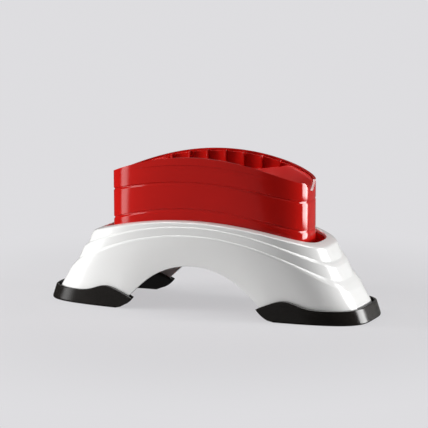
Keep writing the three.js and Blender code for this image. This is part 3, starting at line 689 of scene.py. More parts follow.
def put_on(tree, points, shape, **inputs):
    """A copy of a shape on each point, or on those of a Selection, stretched by a Scale."""
    inputs = {"Points": points, "Instance": shape, **inputs}
    return add_node(tree, "GeometryNodeInstanceOnPoints", inputs).outputs["Instances"]


def finish_tree(tree, geometry, material, output):
    """Ends a tree in realized instances with a material."""
    real = add_node(tree, "GeometryNodeRealizeInstances", {"Geometry": geometry}).outputs["Geometry"]
    coat = add_node(tree, "GeometryNodeSetMaterial", {"Geometry": real, "Material": material})
    set_inputs(tree, output, {"Geometry": coat.outputs["Geometry"]})


def grown_mesh(name, tree, values, blank=None):
    """The plain mesh that a tree makes with its named inputs set."""
    carrier = put_in_scene(name, blank or bpy.data.meshes.new(name))
    modifier = carrier.modifiers.new("Shape", "NODES")
    modifier.node_group = tree
    for item in tree.interface.items_tree:
        if item.item_type == "SOCKET" and item.in_out == "INPUT" and item.name in values:
            modifier[item.identifier] = values[item.name]
    graph = bpy.context.evaluated_depsgraph_get()
    mesh = bpy.data.meshes.new_from_object(carrier.evaluated_get(graph))
    bpy.data.objects.remove(carrier)
    if not mesh.polygons:
        raise RuntimeError(f"the tree {tree.name} made no faces for {name}")
    return mesh


# Materials

FINE_DETAIL, BROAD_DETAIL = 2, 4
MASK_LOW, MASK_HIGH = 0.3, 0.7
SMOOTHEST_SHARE, ROUGHEST_SHARE = 0.85, 1.2


def settings():
    return bpy.context.scene.riser_block


def noise(tree, place, size, detail):
    inputs = {"Vector": place, "Scale": 1 / size, "Detail": detail}
    return add_node(tree, "ShaderNodeTexNoise", inputs).outputs["Fac"]


def moulded_surface_group():
    """Fine grain and slow waves of a moulded surface: a height for bump, and a mask for gloss."""
    name = "Moulded surface"
    if name in bpy.data.node_groups:
        return bpy.data.node_groups[name]
    takes = dict.fromkeys(("Grain Size", "Wave Size", "Grain Share"), "Float")
    group, put, output = new_tree(name, "ShaderNodeTree", takes, {"Height": "Float", "Mask": "Float"})
    place = add_node(group, "ShaderNodeTexCoord").outputs["Object"]
    fine = noise(group, place, put["Grain Size"], FINE_DETAIL)
    broad = noise(group, place, put["Wave Size"], BROAD_DETAIL)
    parts = {"Factor": put["Grain Share"], "A": broad, "B": fine}
    blend = add_node(group, "ShaderNodeMix", parts, data_type="FLOAT")
    set_inputs(group, output, {"Height": blend.outputs["Result"], "Mask": broad})
    return group


def colour_drift_group():
    """A colour that drifts a little towards another one over the surface."""
    name = "Colour drift"
    if name in bpy.data.node_groups:
        return bpy.data.node_groups[name]
    takes = {"Colour": "Color", "Drift Colour": "Color", "Mask": "Float", "Amount": "Float"}
    group, put, output = new_tree(name, "ShaderNodeTree", takes, {"Colour": "Color"})
    weights = {0: put["Mask"], 1: put["Amount"]}
    weight = add_node(group, "ShaderNodeMath", weights, operation="MULTIPLY", use_clamp=True)
    parts = {"Factor": weight.outputs[0], "A": put["Colour"], "B": put["Drift Colour"]}
    blend = add_node(group, "ShaderNodeMix", parts, data_type="RGBA")
    set_inputs(group, output, {"Colour": blend.outputs["Result"]})
    return group


def new_material(name):
    """A material with its tree and the shader in it."""
    material = bpy.data.materials.new(name)
    material.use_nodes = True
    return material, material.node_tree, material.node_tree.nodes["Principled BSDF"]


class Look(NamedTuple):
    """What sets one material apart from another, besides its colour and roughness. Sizes are in metres."""

    drift_tone: float
    drift_amount: float
    wave: float
    grain_share: float
    bump: float
    metallic: float = 0
    shine: float = 0.5


def surface_material(name, colour_name, gloss_name, look):
    """A surface of a colour in the settings, whose roughness wanders a little about one in the settings."""
    if name in bpy.data.materials:
        return bpy.data.materials[name]
    finish = settings().finish
    tone, roughness = getattr(finish, colour_name), getattr(finish, gloss_name + "_roughness")
    material, tree, shader = new_material(name)
    sizes = {"Grain Size": finish.grain, "Wave Size": look.wave, "Grain Share": look.grain_share}
    surface = add_node(tree, "ShaderNodeGroup", sizes, node_tree=moulded_surface_group()).outputs
    colours = {
        "Colour": (*tone, 1),
        "Drift Colour": (*[channel * look.drift_tone for channel in tone], 1),
        "Mask": surface["Mask"],
        "Amount": look.drift_amount,
    }
    drift = add_node(tree, "ShaderNodeGroup", colours, node_tree=colour_drift_group())
    ends = {
        "Value": surface["Mask"],
        "From Min": MASK_LOW,
        "From Max": MASK_HIGH,
        "To Min": SMOOTHEST_SHARE * roughness,
        "To Max": ROUGHEST_SHARE * roughness,
    }
    gloss = add_node(tree, "ShaderNodeMapRange", ends)
    relief = {"Strength": 1, "Distance": look.bump, "Height": surface["Height"]}
    bump = add_node(tree, "ShaderNodeBump", relief)
    values = {
        "Base Color": drift.outputs["Colour"],
        "Roughness": gloss.outputs["Result"],
        "Normal": bump.outputs["Normal"],
        "Metallic": look.metallic,
        "Specular IOR Level": look.shine,
    }
    set_inputs(tree, shader, values)
    return material


WHITE_LOOK = Look(drift_tone=0.95, drift_amount=0.3, wave=0.035, grain_share=0.3, bump=3e-6)
RED_LOOK = Look(drift_tone=0.85, drift_amount=0.35, wave=0.03, grain_share=0.3, bump=3e-6)
TROUGH_LOOK = RED_LOOK._replace(grain_share=0.8, bump=6e-6, shine=0.15)
RUBBER_LOOK = Look(drift_tone=1.8, drift_amount=0.4, wave=0.02, grain_share=0.7, bump=1.2e-5)
NYLON_LOOK = Look(drift_tone=1.5, drift_amount=0.5, wave=0.012, grain_share=0.6, bump=8e-6)
ZINC_LOOK = Look(drift_tone=0.7, drift_amount=0.6, wave=0.004, grain_share=0.4, bump=3e-6, metallic=1)


def white_plastic():
    return surface_material("Moulded white plastic", "white", "white", WHITE_LOOK)


def red_plastic():
    return surface_material("Moulded red plastic", "red", "red", RED_LOOK)


def textured_red_plastic():
    """The red plastic of the trough, with a fine texture that keeps the shine low."""
    return surface_material("Textured red plastic", "red", "trough", TROUGH_LOOK)


def black_rubber():
    return surface_material("Boot rubber", "rubber", "rubber", RUBBER_LOOK)


def black_nylon():
    return surface_material("Moulded nylon", "nylon", "nylon", NYLON_LOOK)


def zinc_steel():
    return surface_material("Zinc plated steel", "zinc", "zinc", ZINC_LOOK)


# Base shell


def crease_ring():
    upper, lower = ring(LOWER_LEDGE_EDGE), ring(SKIRT_EDGE)
    drop = upper[:, 2] - lower[:, 2]
    wanted = (upper[:, 2] - height_on(CREASE_LINE, upper[:, 0])) / drop
    part = np.clip(wanted, CREASE_HIGHEST_SHARE, CREASE_LOWEST_SHARE)[:, None]
    points = upper + part * (lower - upper)
    bulge = CREASE_BULGE * fade(np.abs(points[:, 0]), CREASE_FULL_REACH, CREASE_FADE_REACH)
    points[:, 1] += np.sign(points[:, 1]) * bulge
    return points


def shoulder(upper, lower):
    """The row half way down a ledge, raised so that the ledge is fuller than a plain slope."""
    points = (ring(upper) + ring(lower)) / 2
    points[:, 2] += SHOULDER_RISE
    return points


def base_wall():
    """The base's whole wall: well, rim, ledges, long faces, arch edge, and the inside."""
    base = settings().base
    well = ring(WELL_EDGE)
    crease = crease_ring()
    upper_inside = ring(LOWER_LEDGE_INSIDE)
    return ring_skin(
        [
            (at_height(well, height_on(RIM_INSIDE, well[:, 0])), base.edge_round),
            (well, base.rim_round),
            (ring(RIM_EDGE), base.rim_round),
            (ring(UPPER_FACE_FOOT), base.ledge_round),
            (shoulder(UPPER_FACE_FOOT, UPPER_LEDGE_EDGE), base.ledge_round),
            (ring(UPPER_LEDGE_EDGE), base.ledge_round),
            (ring(MIDDLE_FACE_FOOT), base.ledge_round),
            (shoulder(MIDDLE_FACE_FOOT, LOWER_LEDGE_EDGE), base.ledge_round),
            (ring(LOWER_LEDGE_EDGE), base.ledge_round),
            (crease, base.crease_round),
            (cut_by_arch(crease, ring(SKIRT_EDGE), BASE_ARCH), base.edge_round),
            (cut_by_arch(upper_inside, ring(SKIRT_INSIDE), BASE_ARCH), base.edge_round),
            (upper_inside, base.ledge_round),
            (ring(inside_of(MIDDLE_FACE_FOOT)), base.ledge_round),
            (ring(inside_of(UPPER_LEDGE_EDGE)), base.ledge_round),
            (ring(inside_of(UPPER_FACE_FOOT)), base.ledge_round),
            (ring(RIM_INSIDE), base.edge_round),
        ]
    )


def cradle_stop(flank):
    """A ledge over the arch's crown, inside one long wall, that the lowered cradle comes down on."""
    turns = np.linspace(-1, 1, QUADRANT_STEPS // 2) * math.asin(STOP_HALF_LENGTH / BASE_ARCH.radius)
    low, high = BASE_ARCH.radius, BASE_ARCH.radius + STOP_THICKNESS
    wall_face = flank * (SKIRT_EDGE.half_width - STOP_WALL_INSET)
    inner_face = flank * (SKIRT_EDGE.half_width - STOP_REACH)
    rows = []
    for radius, y in ((low, wall_face), (high, wall_face), (high, inner_face), (low, inner_face)):
        x, z = radius * np.sin(turns), BASE_ARCH.centre + radius * np.cos(turns)
        rows.append(points_at(x, y, z))
    return channel_skin(np.array(rows))


def circle_points(x, y, radius):
    turns = np.linspace(0, 2 * math.pi, POST_SIDES, endpoint=False)
    return np.stack([x + radius * np.cos(turns), y + radius * np.sin(turns)], axis=1)


def corners_of(place):
    return [(side * place[0], flank * place[1]) for side in (-1, 1) for flank in (-1, 1)]


def between(upper, lower, part):
    """The line that lies a share of the way from one edge line to the next."""
    return Line(*(high + part * (low - high) for high, low in zip(upper, lower)))


def under_rim(x, y):
    """The height of the base's inside over a place: the rim's, or the slanting upper face's outside it."""
    upper, lower = RIM_INSIDE, inside_of(UPPER_FACE_FOOT)

    def is_over(part):
        line = between(upper, lower, part)
        along = (np.abs(x) / line.half_length) ** line.squareness
        across = (np.abs(y) / line.half_width) ** line.squareness
        return along + across <= 1

    return height_on(between(upper, lower, last_share(len(x), is_over)), x)


def liner_post(x, y):
    """A post that the liner is screwed to, which runs up into the wall."""
    outline = circle_points(x, y, BOSS_RADIUS)
    return plate_skin(outline, BOSS_BOTTOM, under_rim(outline[:, 0], outline[:, 1]) + SEAT_GAP)


def make_base_shell():
    posts = [liner_post(x, y) for x, y in corners_of(BOSS_PLACE)]
    mesh = mesh_from("base_shell_skin", [base_wall(), cradle_stop(-1), cradle_stop(1), *posts])
    return shown("base_shell_skin", mesh, white_plastic(), "base", ["base_shell"])


# Boots


def boot_top_at(reach):
    crest = BOOT_CREST_RISE * np.exp(-(((reach - BOOT_CREST_PLACE) / BOOT_CREST_SPREAD) ** 2))
    inward = np.clip((BOOT_CREST_PLACE - reach) / BOOT_TIP_RUN, 0, 1)
    return BOOT_TOP + crest - BOOT_TIP_DROP * inward**BOOT_TIP_POWER


def boot_sole(angles):
    """The row round the flat underside."""
    x, y = plan_points(grown(BOOT_FOOT, -BOOT_SOLE_ROUND / 2), angles)
    return points_at(x, y, 0)


def boot_belt(angles):
    """The row where a boot is longest, just over its sole."""
    x, y = plan_points(step_out(BOOT_FOOT, Step(end_run=-BOOT_LEAN_SHARE * BOOT_SOLE_ROUND)), angles)
    return points_at(x, y, BOOT_SOLE_ROUND)


def boot_outside(line, angles, rise):
    """A row on a boot's leaning side: rise is the share of the way up to its top edge."""
    x, y = plan_points(line, angles)
    height = rise * BOOT_TOP
    for _ in range(SOLVER_STEPS):
        lean = 1 - BOOT_LEAN_SHARE * height / line.half_length
        height = rise * boot_top_at(np.abs(x * lean))
    return points_at(x * lean, y, height)


def boot_inside(inset, angles, rise):
    """A row on a boot's inner wall, which follows the base's inside."""
    foot, top = grown(SKIRT_INSIDE, -inset), grown(LOWER_LEDGE_INSIDE, -inset)
    foot_x, foot_y = plan_points(foot, angles)
    top_x, top_y = plan_points(top, angles)
    top_z = height_on(top, top_x)
    x, y = foot_x, foot_y
    for _ in range(SOLVER_STEPS):
        height = rise * boot_top_at(np.abs(x))
        part = np.clip((height - SKIRT_HEIGHT) / (top_z - SKIRT_HEIGHT), 0, 1)
        x, y = foot_x + part * (top_x - foot_x), foot_y + part * (top_y - foot_y)
    return points_at(x, y, height)


def angle_at(row_of, arch, heel=0.0):
    """The angle at which a row of a boot meets an arch's side."""

    def is_past(part):
        x, _, height = row_of(part * math.pi / 2)[0]
        limit = arch_side(arch, height)
        if height < heel:
            limit += heel - math.sqrt(heel**2 - (heel - height) ** 2)
        return x <= limit

    return last_share(1, is_past)[0] * math.pi / 2


BOOT_RISE_SHARES = (0.25, 0.4, 0.6, 0.8)
GROOVE_LOW_SHARE = 0.25
GROOVE_FLOOR_SHARE = 0.7


def rows_at(row_of, place, rises):
    return [partial(row_of, place, rise=rise) for rise in rises]


def boot_rows():
    """A boot's rows, each with the reach of its rounding, and whether it lies in the groove for the wall."""
    boots = settings().boots
    *outer, outer_top = rows_at(boot_outside, BOOT_FOOT, (*BOOT_RISE_SHARES, 1))
    groove_outer = rows_at(boot_outside, grown(BOOT_FOOT, -BOOT_WALL), (1, GROOVE_LOW_SHARE))
    groove_inner = rows_at(boot_inside, SEAT_GAP, (GROOVE_LOW_SHARE, 1))
    falling = (1, *reversed(BOOT_RISE_SHARES), 0)
    inner_top, *inner = rows_at(boot_inside, SEAT_GAP + BOOT_INNER_WALL, falling)
    return [
        (boot_sole, boots.sole_round, False),
        (boot_belt, boots.sole_round, False),
        *[(row, 0, False) for row in outer],
        (outer_top, boots.lip_round, False),
        *[(row, 0, True) for row in (*groove_outer, *groove_inner)],
        (inner_top, boots.lip_round, False),
        *[(row, 0, False) for row in inner],
    ]


def boot_section(row, in_groove):
    """A row's points from one side of the arch to the other. In the groove, low ones lie on its floor."""
    lip = angle_at(row, LIP_ARCH, BOOT_HEEL_ROUND)
    groove = angle_at(row, GROOVE_ARCH)
    along = groove * np.linspace(-1, 1, BOOT_STEPS)
    points = row(np.concatenate([[-lip, -groove], along, [groove, lip]]))
    if in_groove:
        top = boot_top_at(np.abs(points[:, 0]))
        points[:, 2] = np.where(points[:, 2] < GROOVE_FLOOR_SHARE * top, BOOT_SOLE, points[:, 2])
        for end in (0, 1, -2, -1):
            points[end, 2] = top[end]
    return points


def make_boot(side, node):
    corners = []
    for row, reach, in_groove in boot_rows():
        points = boot_section(row, in_groove)
        points[:, 0] *= side
        corners.append((points, reach))
    mesh = mesh_from(node + "_skin", [channel_skin(rounded(corners))])
    return shown(node + "_skin", mesh, black_rubber(), "base", [node])


# Cradle sleeve

SLEEVE_ROW_VALUES = ("out", "crown", "tip", "rise", "from_foot", "lean")
SLEEVE_GUIDE = 0.004
LOWER_ROUND = 0.0005
GROOVE_ROUND = 0.0003
BAND_ROUND = 0.0015
CREASE_STEP_DROPS = (0.0003, 0.0045)
CREASE_STEP_SHARE = 0.6


def tyre_underside(x):
    return TYRE_BOTTOM + WHEEL_RADIUS - np.sqrt(WHEEL_RADIUS**2 - x**2)


NOTCH_FLOOR = float(tyre_underside(CRADLE_EDGE.half_length)) - NOTCH_FLOOR_GAP


def notch_top(points, height):
    """Top edge heights at points, cut down by the notch at each end."""
    part = np.clip(np.abs(points[:, 1]) / NOTCH_HALF_WIDTH, 0, 1)
    notch = NOTCH_FLOOR + NOTCH_DEPTH * eased(part)
    in_notch = (np.abs(points[:, 0]) > CRADLE_EDGE.half_length - NOTCH_LENGTH) & (part < 1)
    return np.where(in_notch, np.minimum(height, notch), height)


def line_row(line, lean=0.0):
    """A row of the sleeve on an edge line, as its distance out of the sleeve's face and its heights."""
    return np.array([line.half_length - CRADLE_EDGE.half_length, line.crown, line.tip, 0, 0, lean])


def foot_row(out, rise):
    """A row of the sleeve that follows its lower edge, a rise above it."""
    return np.array([out, 0, 0, rise, 1, 0])


def groove_rows(line, depth):
    return [
        (line_row(lowered(line, GROOVE_LOWER_HALF)), GROOVE_ROUND),
        (line_row(grown(line, -depth)), GROOVE_ROUND),
        (line_row(grown(lowered(line, GROOVE_STEP - GROOVE_UPPER_HALF), -depth)), GROOVE_ROUND),
        (line_row(lowered(line, -GROOVE_UPPER_HALF)), GROOVE_ROUND),
    ]


def crease_step_rows(crease):
    """The fine step in under the crease, which fades out towards the ends as the band's lean does."""
    top, foot = (lowered(crease, drop) for drop in CREASE_STEP_DROPS)
    return [(line_row(foot), BAND_ROUND), (line_row(top, CREASE_STEP_SHARE), GROOVE_ROUND)]


def sleeve_rows():
    """The rows of the sleeve's wall, from its lower edge up the outside and down the inside."""
    cradle = settings().cradle
    inside = grown(CRADLE_EDGE, -CRADLE_WALL)
    crease = step_out(CRADLE_EDGE, CRADLE_CREASE_STEP)
    corners = [
        (line_row(lowered(LOWER_GROOVE, SLEEVE_GUIDE)), 0),
        *groove_rows(LOWER_GROOVE, cradle.groove_depth),
        *groove_rows(UPPER_GROOVE, cradle.groove_depth),
        *crease_step_rows(crease),
        (line_row(crease), GROOVE_ROUND),
        (line_row(CRADLE_EDGE, lean=1), cradle.lip_round),
        (line_row(inside), cradle.lip_round),
        (line_row(lowered(inside, SLEEVE_GUIDE)), 0),
    ]
    rows = [point[0] for point in rounded([(row[None], reach) for row, reach in corners])]
    rows += [foot_row(-CRADLE_WALL, LOWER_ROUND), foot_row(LOWER_ROUND - CRADLE_WALL, 0)]
    rows += [foot_row(-LOWER_ROUND, 0), foot_row(0, LOWER_ROUND)]
    return np.array(rows)


def sleeve_blank():
    """A closed sheet of faces that holds, at each point, its row's values and its turn round the sleeve."""
    rows = sleeve_rows()
    row_count, ring_count = len(rows), len(RING_ANGLES)
    turns = np.tile(RING_ANGLES, row_count)
    levels = np.repeat(np.arange(row_count), ring_count)
    blank = bpy.data.meshes.new("sleeve_blank")
    points = np.column_stack([np.cos(turns), np.sin(turns), levels])
    blank.from_pydata(points.tolist(), [], closed_faces(row_count, ring_count))
    add_values(blank, "turn", turns)
    for name, column in zip(SLEEVE_ROW_VALUES, rows.T):
        add_values(blank, name, np.repeat(column, ring_count))
    return blank


def add_values(mesh, name, values):
    attribute = mesh.attributes.new(name, "FLOAT", "POINT")
    attribute.data.foreach_set("value", np.asarray(values, dtype=np.float32))


SLEEVE_INPUTS = {
    "Half Length": CRADLE_EDGE.half_length,
    "Half Width": CRADLE_EDGE.half_width,
    "Squareness": CRADLE_EDGE.squareness,
    "Edge Crown": CRADLE_EDGE.crown,
    "Edge Tip": CRADLE_EDGE.tip,
    "Band Foot Crown": UPPER_GROOVE.crown + GROOVE_UPPER_HALF,
    "Band Foot Tip": UPPER_GROOVE.tip + GROOVE_UPPER_HALF,
    "Band Lean": BAND_LEAN,
    "Lean Full Reach": BAND_FULL_REACH,
    "Lean Fade Reach": BAND_FADE_REACH,
    "Notch Half Width": NOTCH_HALF_WIDTH,
    "Notch Depth": NOTCH_DEPTH,
    "Notch Floor": NOTCH_FLOOR,
    "Notch Length": NOTCH_LENGTH,
    "Foot Height": FOOT_HEIGHT,
    "Arch Centre": CRADLE_ARCH.centre,
    "Arch Radius": CRADLE_ARCH.radius,
    "Arch Turn": CRADLE_ARCH.turn,
}


def sleeve_tree():
    """Places a sheet's points on superellipse rings, under a notched edge and over an arch."""
    tree, put, output = new_shape_tree("Sleeve wall", {"Geometry": "Geometry"}, SLEEVE_INPUTS)
    turn, out, crown, tip, rise, from_foot, lean = (
        read_values(tree, name) for name in ("turn", *SLEEVE_ROW_VALUES)
    )
    power = 2 / put["Squareness"]
    waves = (calc("COSINE", turn), calc("SINE", turn))
    along, across = (calc("SIGN", wave) * calc("ABSOLUTE", wave) ** power for wave in waves)
    x = (put["Half Length"] + out) * along
    y = (put["Half Width"] + out) * across
    reach, side = calc("ABSOLUTE", x), calc("ABSOLUTE", y)

    fall = along * along
    line = fallen(crown, tip, fall)
    edge = fallen(put["Edge Crown"], put["Edge Tip"], fall)
    band_foot = fallen(put["Band Foot Crown"], put["Band Foot Tip"], fall)
    part = calc("MINIMUM", side / put["Notch Half Width"], 1)
    notch = put["Notch Floor"] + put["Notch Depth"] * eased(part)
    at_end = calc("GREATER_THAN", reach, put["Half Length"] - put["Notch Length"])
    in_notch = at_end * calc("LESS_THAN", part, 1)
    cut_edge = edge + in_notch * (calc("MINIMUM", edge, notch) - edge)
    over = calc("MAXIMUM", line - band_foot, 0)
    below = calc("MINIMUM", line - band_foot, 0)
    line_height = band_foot + below + over * (cut_edge - band_foot) / (edge - band_foot)

    sine, cosine = calc("SINE", put["Arch Turn"]), calc("COSINE", put["Arch Turn"])
    radius = put["Arch Radius"]
    round_top = calc("SQRT", calc("MAXIMUM", radius * radius - reach * reach, 0))
    straight_top = (radius - reach * sine) / cosine
    is_round = calc("LESS_THAN", reach, radius * sine)
    arch = put["Arch Centre"] + straight_top + is_round * (round_top - straight_top)
    foot_height = calc("MAXIMUM", put["Foot Height"], arch) + rise
    height = line_height + from_foot * (foot_height - line_height)

    lean_left = 1 - smooth_step(reach, put["Lean Full Reach"], put["Lean Fade Reach"])
    y = y - calc("SIGN", y) * (put["Band Lean"] * lean * lean_left)
    sheet = moved(tree, put["Geometry"], Position=vector_of(tree, x, y, height))
    merged = add_node(tree, "GeometryNodeMergeByDistance", {"Geometry": sheet, "Distance": MERGE_REACH})
    finish_tree(tree, merged.outputs["Geometry"], put["Material"], output)
    return tree


def sleeve_foot(side):
    near = CRADLE_EDGE.half_length - FOOT_INSET
    far = CRADLE_EDGE.half_length + FOOT_REACH
    turns = np.linspace(0, math.pi / 2, 2 * ROUND_STEPS)
    corner_x = far - FOOT_CORNER + FOOT_CORNER * np.sin(turns)
    corner_y = FOOT_HALF_WIDTH - FOOT_CORNER + FOOT_CORNER * np.cos(turns)
    outline = [(near, FOOT_HALF_WIDTH), *zip(corner_x, corner_y)]
    outline += [(x, -y) for x, y in reversed(outline)]
    outline = [(side * x, y) for x, y in outline]
    return plate_skin(outline, FOOT_HEIGHT, FOOT_HEIGHT + FOOT_THICKNESS)


def sleeve_shelf(side):
    x, y = plan_points(grown(CRADLE_EDGE, -CRADLE_WALL / 2), RING_ANGLES)
    chosen = x > CRADLE_EDGE.half_length - SHELF_REACH
    outline = sorted(zip(side * x[chosen], y[chosen]), key=lambda point: point[1])
    return plate_skin(outline, SHELF_HEIGHT, SHELF_HEIGHT + SHELF_THICKNESS)


def make_cradle_sleeve():
    values = {**SLEEVE_INPUTS, "Material": red_plastic()}
    wall = grown_mesh("cradle_sleeve_wall", sleeve_tree(), values, sleeve_blank())
    shown("cradle_sleeve_wall", wall, red_plastic(), "cradle", ["cradle_sleeve"])
    skins = [skin(side) for side in (-1, 1) for skin in (sleeve_foot, sleeve_shelf)]
    feet = mesh_from("cradle_feet", skins)
    shown("cradle_feet", feet, red_plastic(), "cradle", ["cradle_sleeve"])


# Saddle tray

SADDLE_EDGE = grown(CRADLE_EDGE, -CRADLE_WALL - SEAT_GAP)
SADDLE_BOTTOM = SHELF_HEIGHT + SHELF_THICKNESS + SEAT_GAP
TROUGH_RINGS = 56
TROUGH_BLEND = 0.002


def rib_face():
    """How far the ribs' inner faces stand from the middle."""
    return SADDLE_EDGE.half_width - SADDLE_WALL - settings().cradle.rib_depth


def trough_height(x, y):
    """The trough's surface: a round bottom, a straight slope, and a soft turn to the level top."""
    across = np.abs(y)
    arc_half = TYRE_HALF_WIDTH * math.sin(TROUGH_ARC_TURN)
    round_part = TYRE_HALF_WIDTH - np.sqrt(TYRE_HALF_WIDTH**2 - np.minimum(across, arc_half) ** 2)
    slope = np.clip(across - arc_half, 0, rib_face() - arc_half) * math.tan(TROUGH_SLOPE)
    top = height_on(CRADLE_EDGE, x) - SADDLE_TOP_DROP
    surface = tyre_underside(x) + round_part + slope
    blend = np.maximum(TROUGH_BLEND - np.abs(surface - top), 0)
    return np.minimum(surface, top) - blend**2 / (4 * TROUGH_BLEND)


def saddle_tray():
    """The saddle's wall with the trough that joins its two long sides."""
    outside = ring(SADDLE_EDGE)
    inside = ring(grown(SADDLE_EDGE, -SADDLE_WALL))
    top_line = lowered(CRADLE_EDGE, SADDLE_TOP_DROP)
    corners = []
    for points in (outside, inside):
        height = notch_top(points, height_on(top_line, points[:, 0]))
        corners.append((at_height(points, height), SADDLE_TOP_ROUND))
    inner_top = corners[-1][0][:, 2]
    shares_in = [*np.cos(np.linspace(0, math.pi / 2, TROUGH_RINGS)[:-1]), 0]
    upper, lower = [], []
    for part in shares_in:
        x, y = part * inside[:, 0], part * inside[:, 1]
        height = trough_height(x, y)
        if part == 1:
            height = np.minimum(height, inner_top)
        surface = points_at(x, y, height)
        upper.append((surface, 0))
        lower.append((at_height(surface, height - TROUGH_SKIN), 0))
    arch = CRADLE_ARCH._replace(radius=CRADLE_ARCH.radius + SADDLE_EDGE_LIFT)
    feet = []
    for points in (inside, outside):
        foot = np.maximum(SADDLE_BOTTOM, arch_top(arch, points[:, 0]))
        feet.append((at_height(points, foot), SADDLE_FOOT_ROUND))
    return ring_skin([*corners, *upper, *reversed(lower), *feet])


def make_tyre_saddle():
    posts = []
    for x, y in corners_of(SADDLE_SCREW_PLACE):
        outline = circle_points(x, y, BOSS_RADIUS)
        under = trough_height(outline[:, 0], outline[:, 1]) - TROUGH_SKIN / 2
        posts.append(plate_skin(outline, SADDLE_BOTTOM, under))
    mesh = mesh_from("tyre_saddle_tray", [saddle_tray(), *posts])
    return shown("tyre_saddle_tray", mesh, textured_red_plastic(), "cradle", ["tyre_saddle"])


# Saddle ribs

RIB_LEAST_SHARE = 0.25


def rib_tree(sizes):
    """Upright ribs in a row along X, on both flanks, between a face and a wall, with tops on an edge line."""
    tree, put, output = new_shape_tree("Saddle ribs", {"Count Each Side": "Int"}, sizes)
    each_side, pitch, thickness = put["Count Each Side"], put["Pitch"], put["Thickness"]
    places = {
        "Count": each_side * 2 + 1,
        "Start Location": vector_of(tree, -1 * each_side * pitch, 0, 0),
        "Offset": vector_of(tree, pitch, 0, 0),
    }
    line = add_node(tree, "GeometryNodeMeshLine", places).outputs["Mesh"]
    x = parts_of(tree, add_node(tree, "GeometryNodeInputPosition").outputs[0])[0]
    along = x / put["Top Half Length"]
    top = fallen(put["Top Crown"], put["Top Tip"], along * along)
    rise = put["Foot Curve"] - calc("SQRT", put["Foot Curve"] * put["Foot Curve"] - x * x)
    foot = calc("MINIMUM", put["Foot Crown"] + rise, top - thickness)
    wall_share = calc("ABSOLUTE", x / put["Wall Half Length"]) ** put["Squareness"]
    wall = put["Wall Half Width"] * calc("MAXIMUM", 1 - wall_share, 0) ** (1 / put["Squareness"])
    depth = calc("MAXIMUM", wall - put["Face"], 0)
    stretch = vector_of(tree, 1, depth, top - foot)
    shows = calc("GREATER_THAN", depth, thickness * RIB_LEAST_SHARE)

    block = add_node(tree, "GeometryNodeMeshCube", {"Size": vector_of(tree, thickness, 1, 1)})
    both = add_node(tree, "GeometryNodeJoinGeometry")
    for flank in (-1, 1):
        offset = vector_of(tree, 0, (put["Face"] + depth / 2) * flank, (foot + top) / 2)
        points = moved(tree, line, Offset=offset)
        ribs = put_on(tree, points, block.outputs["Mesh"], Scale=stretch, Selection=shows)
        set_inputs(tree, both, {"Geometry": ribs})
    finish_tree(tree, both.outputs["Geometry"], put["Material"], output)
    return tree


def make_saddle_ribs():
    cradle = settings().cradle
    top_line = lowered(CRADLE_EDGE, cradle.rib_top_drop)
    wall = grown(SADDLE_EDGE, -SADDLE_WALL / 2)
    ledge = float(trough_height(np.array(0.0), np.array(rib_face())))
    sizes = {
        "Pitch": cradle.rib_pitch,
        "Thickness": cradle.rib_thickness,
        "Face": rib_face(),
        "Wall Half Length": wall.half_length,
        "Wall Half Width": wall.half_width,
        "Squareness": wall.squareness,
        "Top Half Length": top_line.half_length,
        "Top Crown": top_line.crown,
        "Top Tip": top_line.tip,
        "Foot Crown": ledge - TROUGH_SKIN / 2,
        "Foot Curve": WHEEL_RADIUS,
    }
    values = {**sizes, "Count Each Side": cradle.ribs_each_side, "Material": red_plastic()}
    mesh = bevelled(grown_mesh("saddle_ribs", rib_tree(sizes), values), RIB_BEVEL)
    return shown("saddle_ribs", mesh, red_plastic(), "cradle", ["tyre_saddle"])


# Liner, bolts and keepers


def make_liner():
    mesh = bevelled(merged_copy("well_liner"), LINER_BEVEL, segments=1)
    return shown("well_liner_skin", mesh, red_plastic(), "base", ["well_liner"])


def make_bolt(node):
    mesh = bevelled(merged_copy(node), BOLT_BEVEL)
    return shown(node + "_finished", mesh, black_nylon(), node, [node])


def make_keeper(node):
    mesh = bevelled(merged_copy(node), KEEPER_BEVEL)
    return shown(node + "_finished", mesh, black_nylon(), "base", [node])


# Screws

SCREW_INPUTS = {
    "Head Radius": 0.0032,
    "Head Height": 0.0023,
    "Head Dome": 0.0011,
    "Shank Radius": 0.0017,
    "Recess Length": 0.0036,
    "Recess Width": 0.0008,
    "Recess Depth": 0.0012,
}
SCREW_SIDES = 32
SCREW_SIDE_STEPS = 4
DOME_DROP_SHARE = 1.5
DOME_NARROWING_SHARE = 0.4


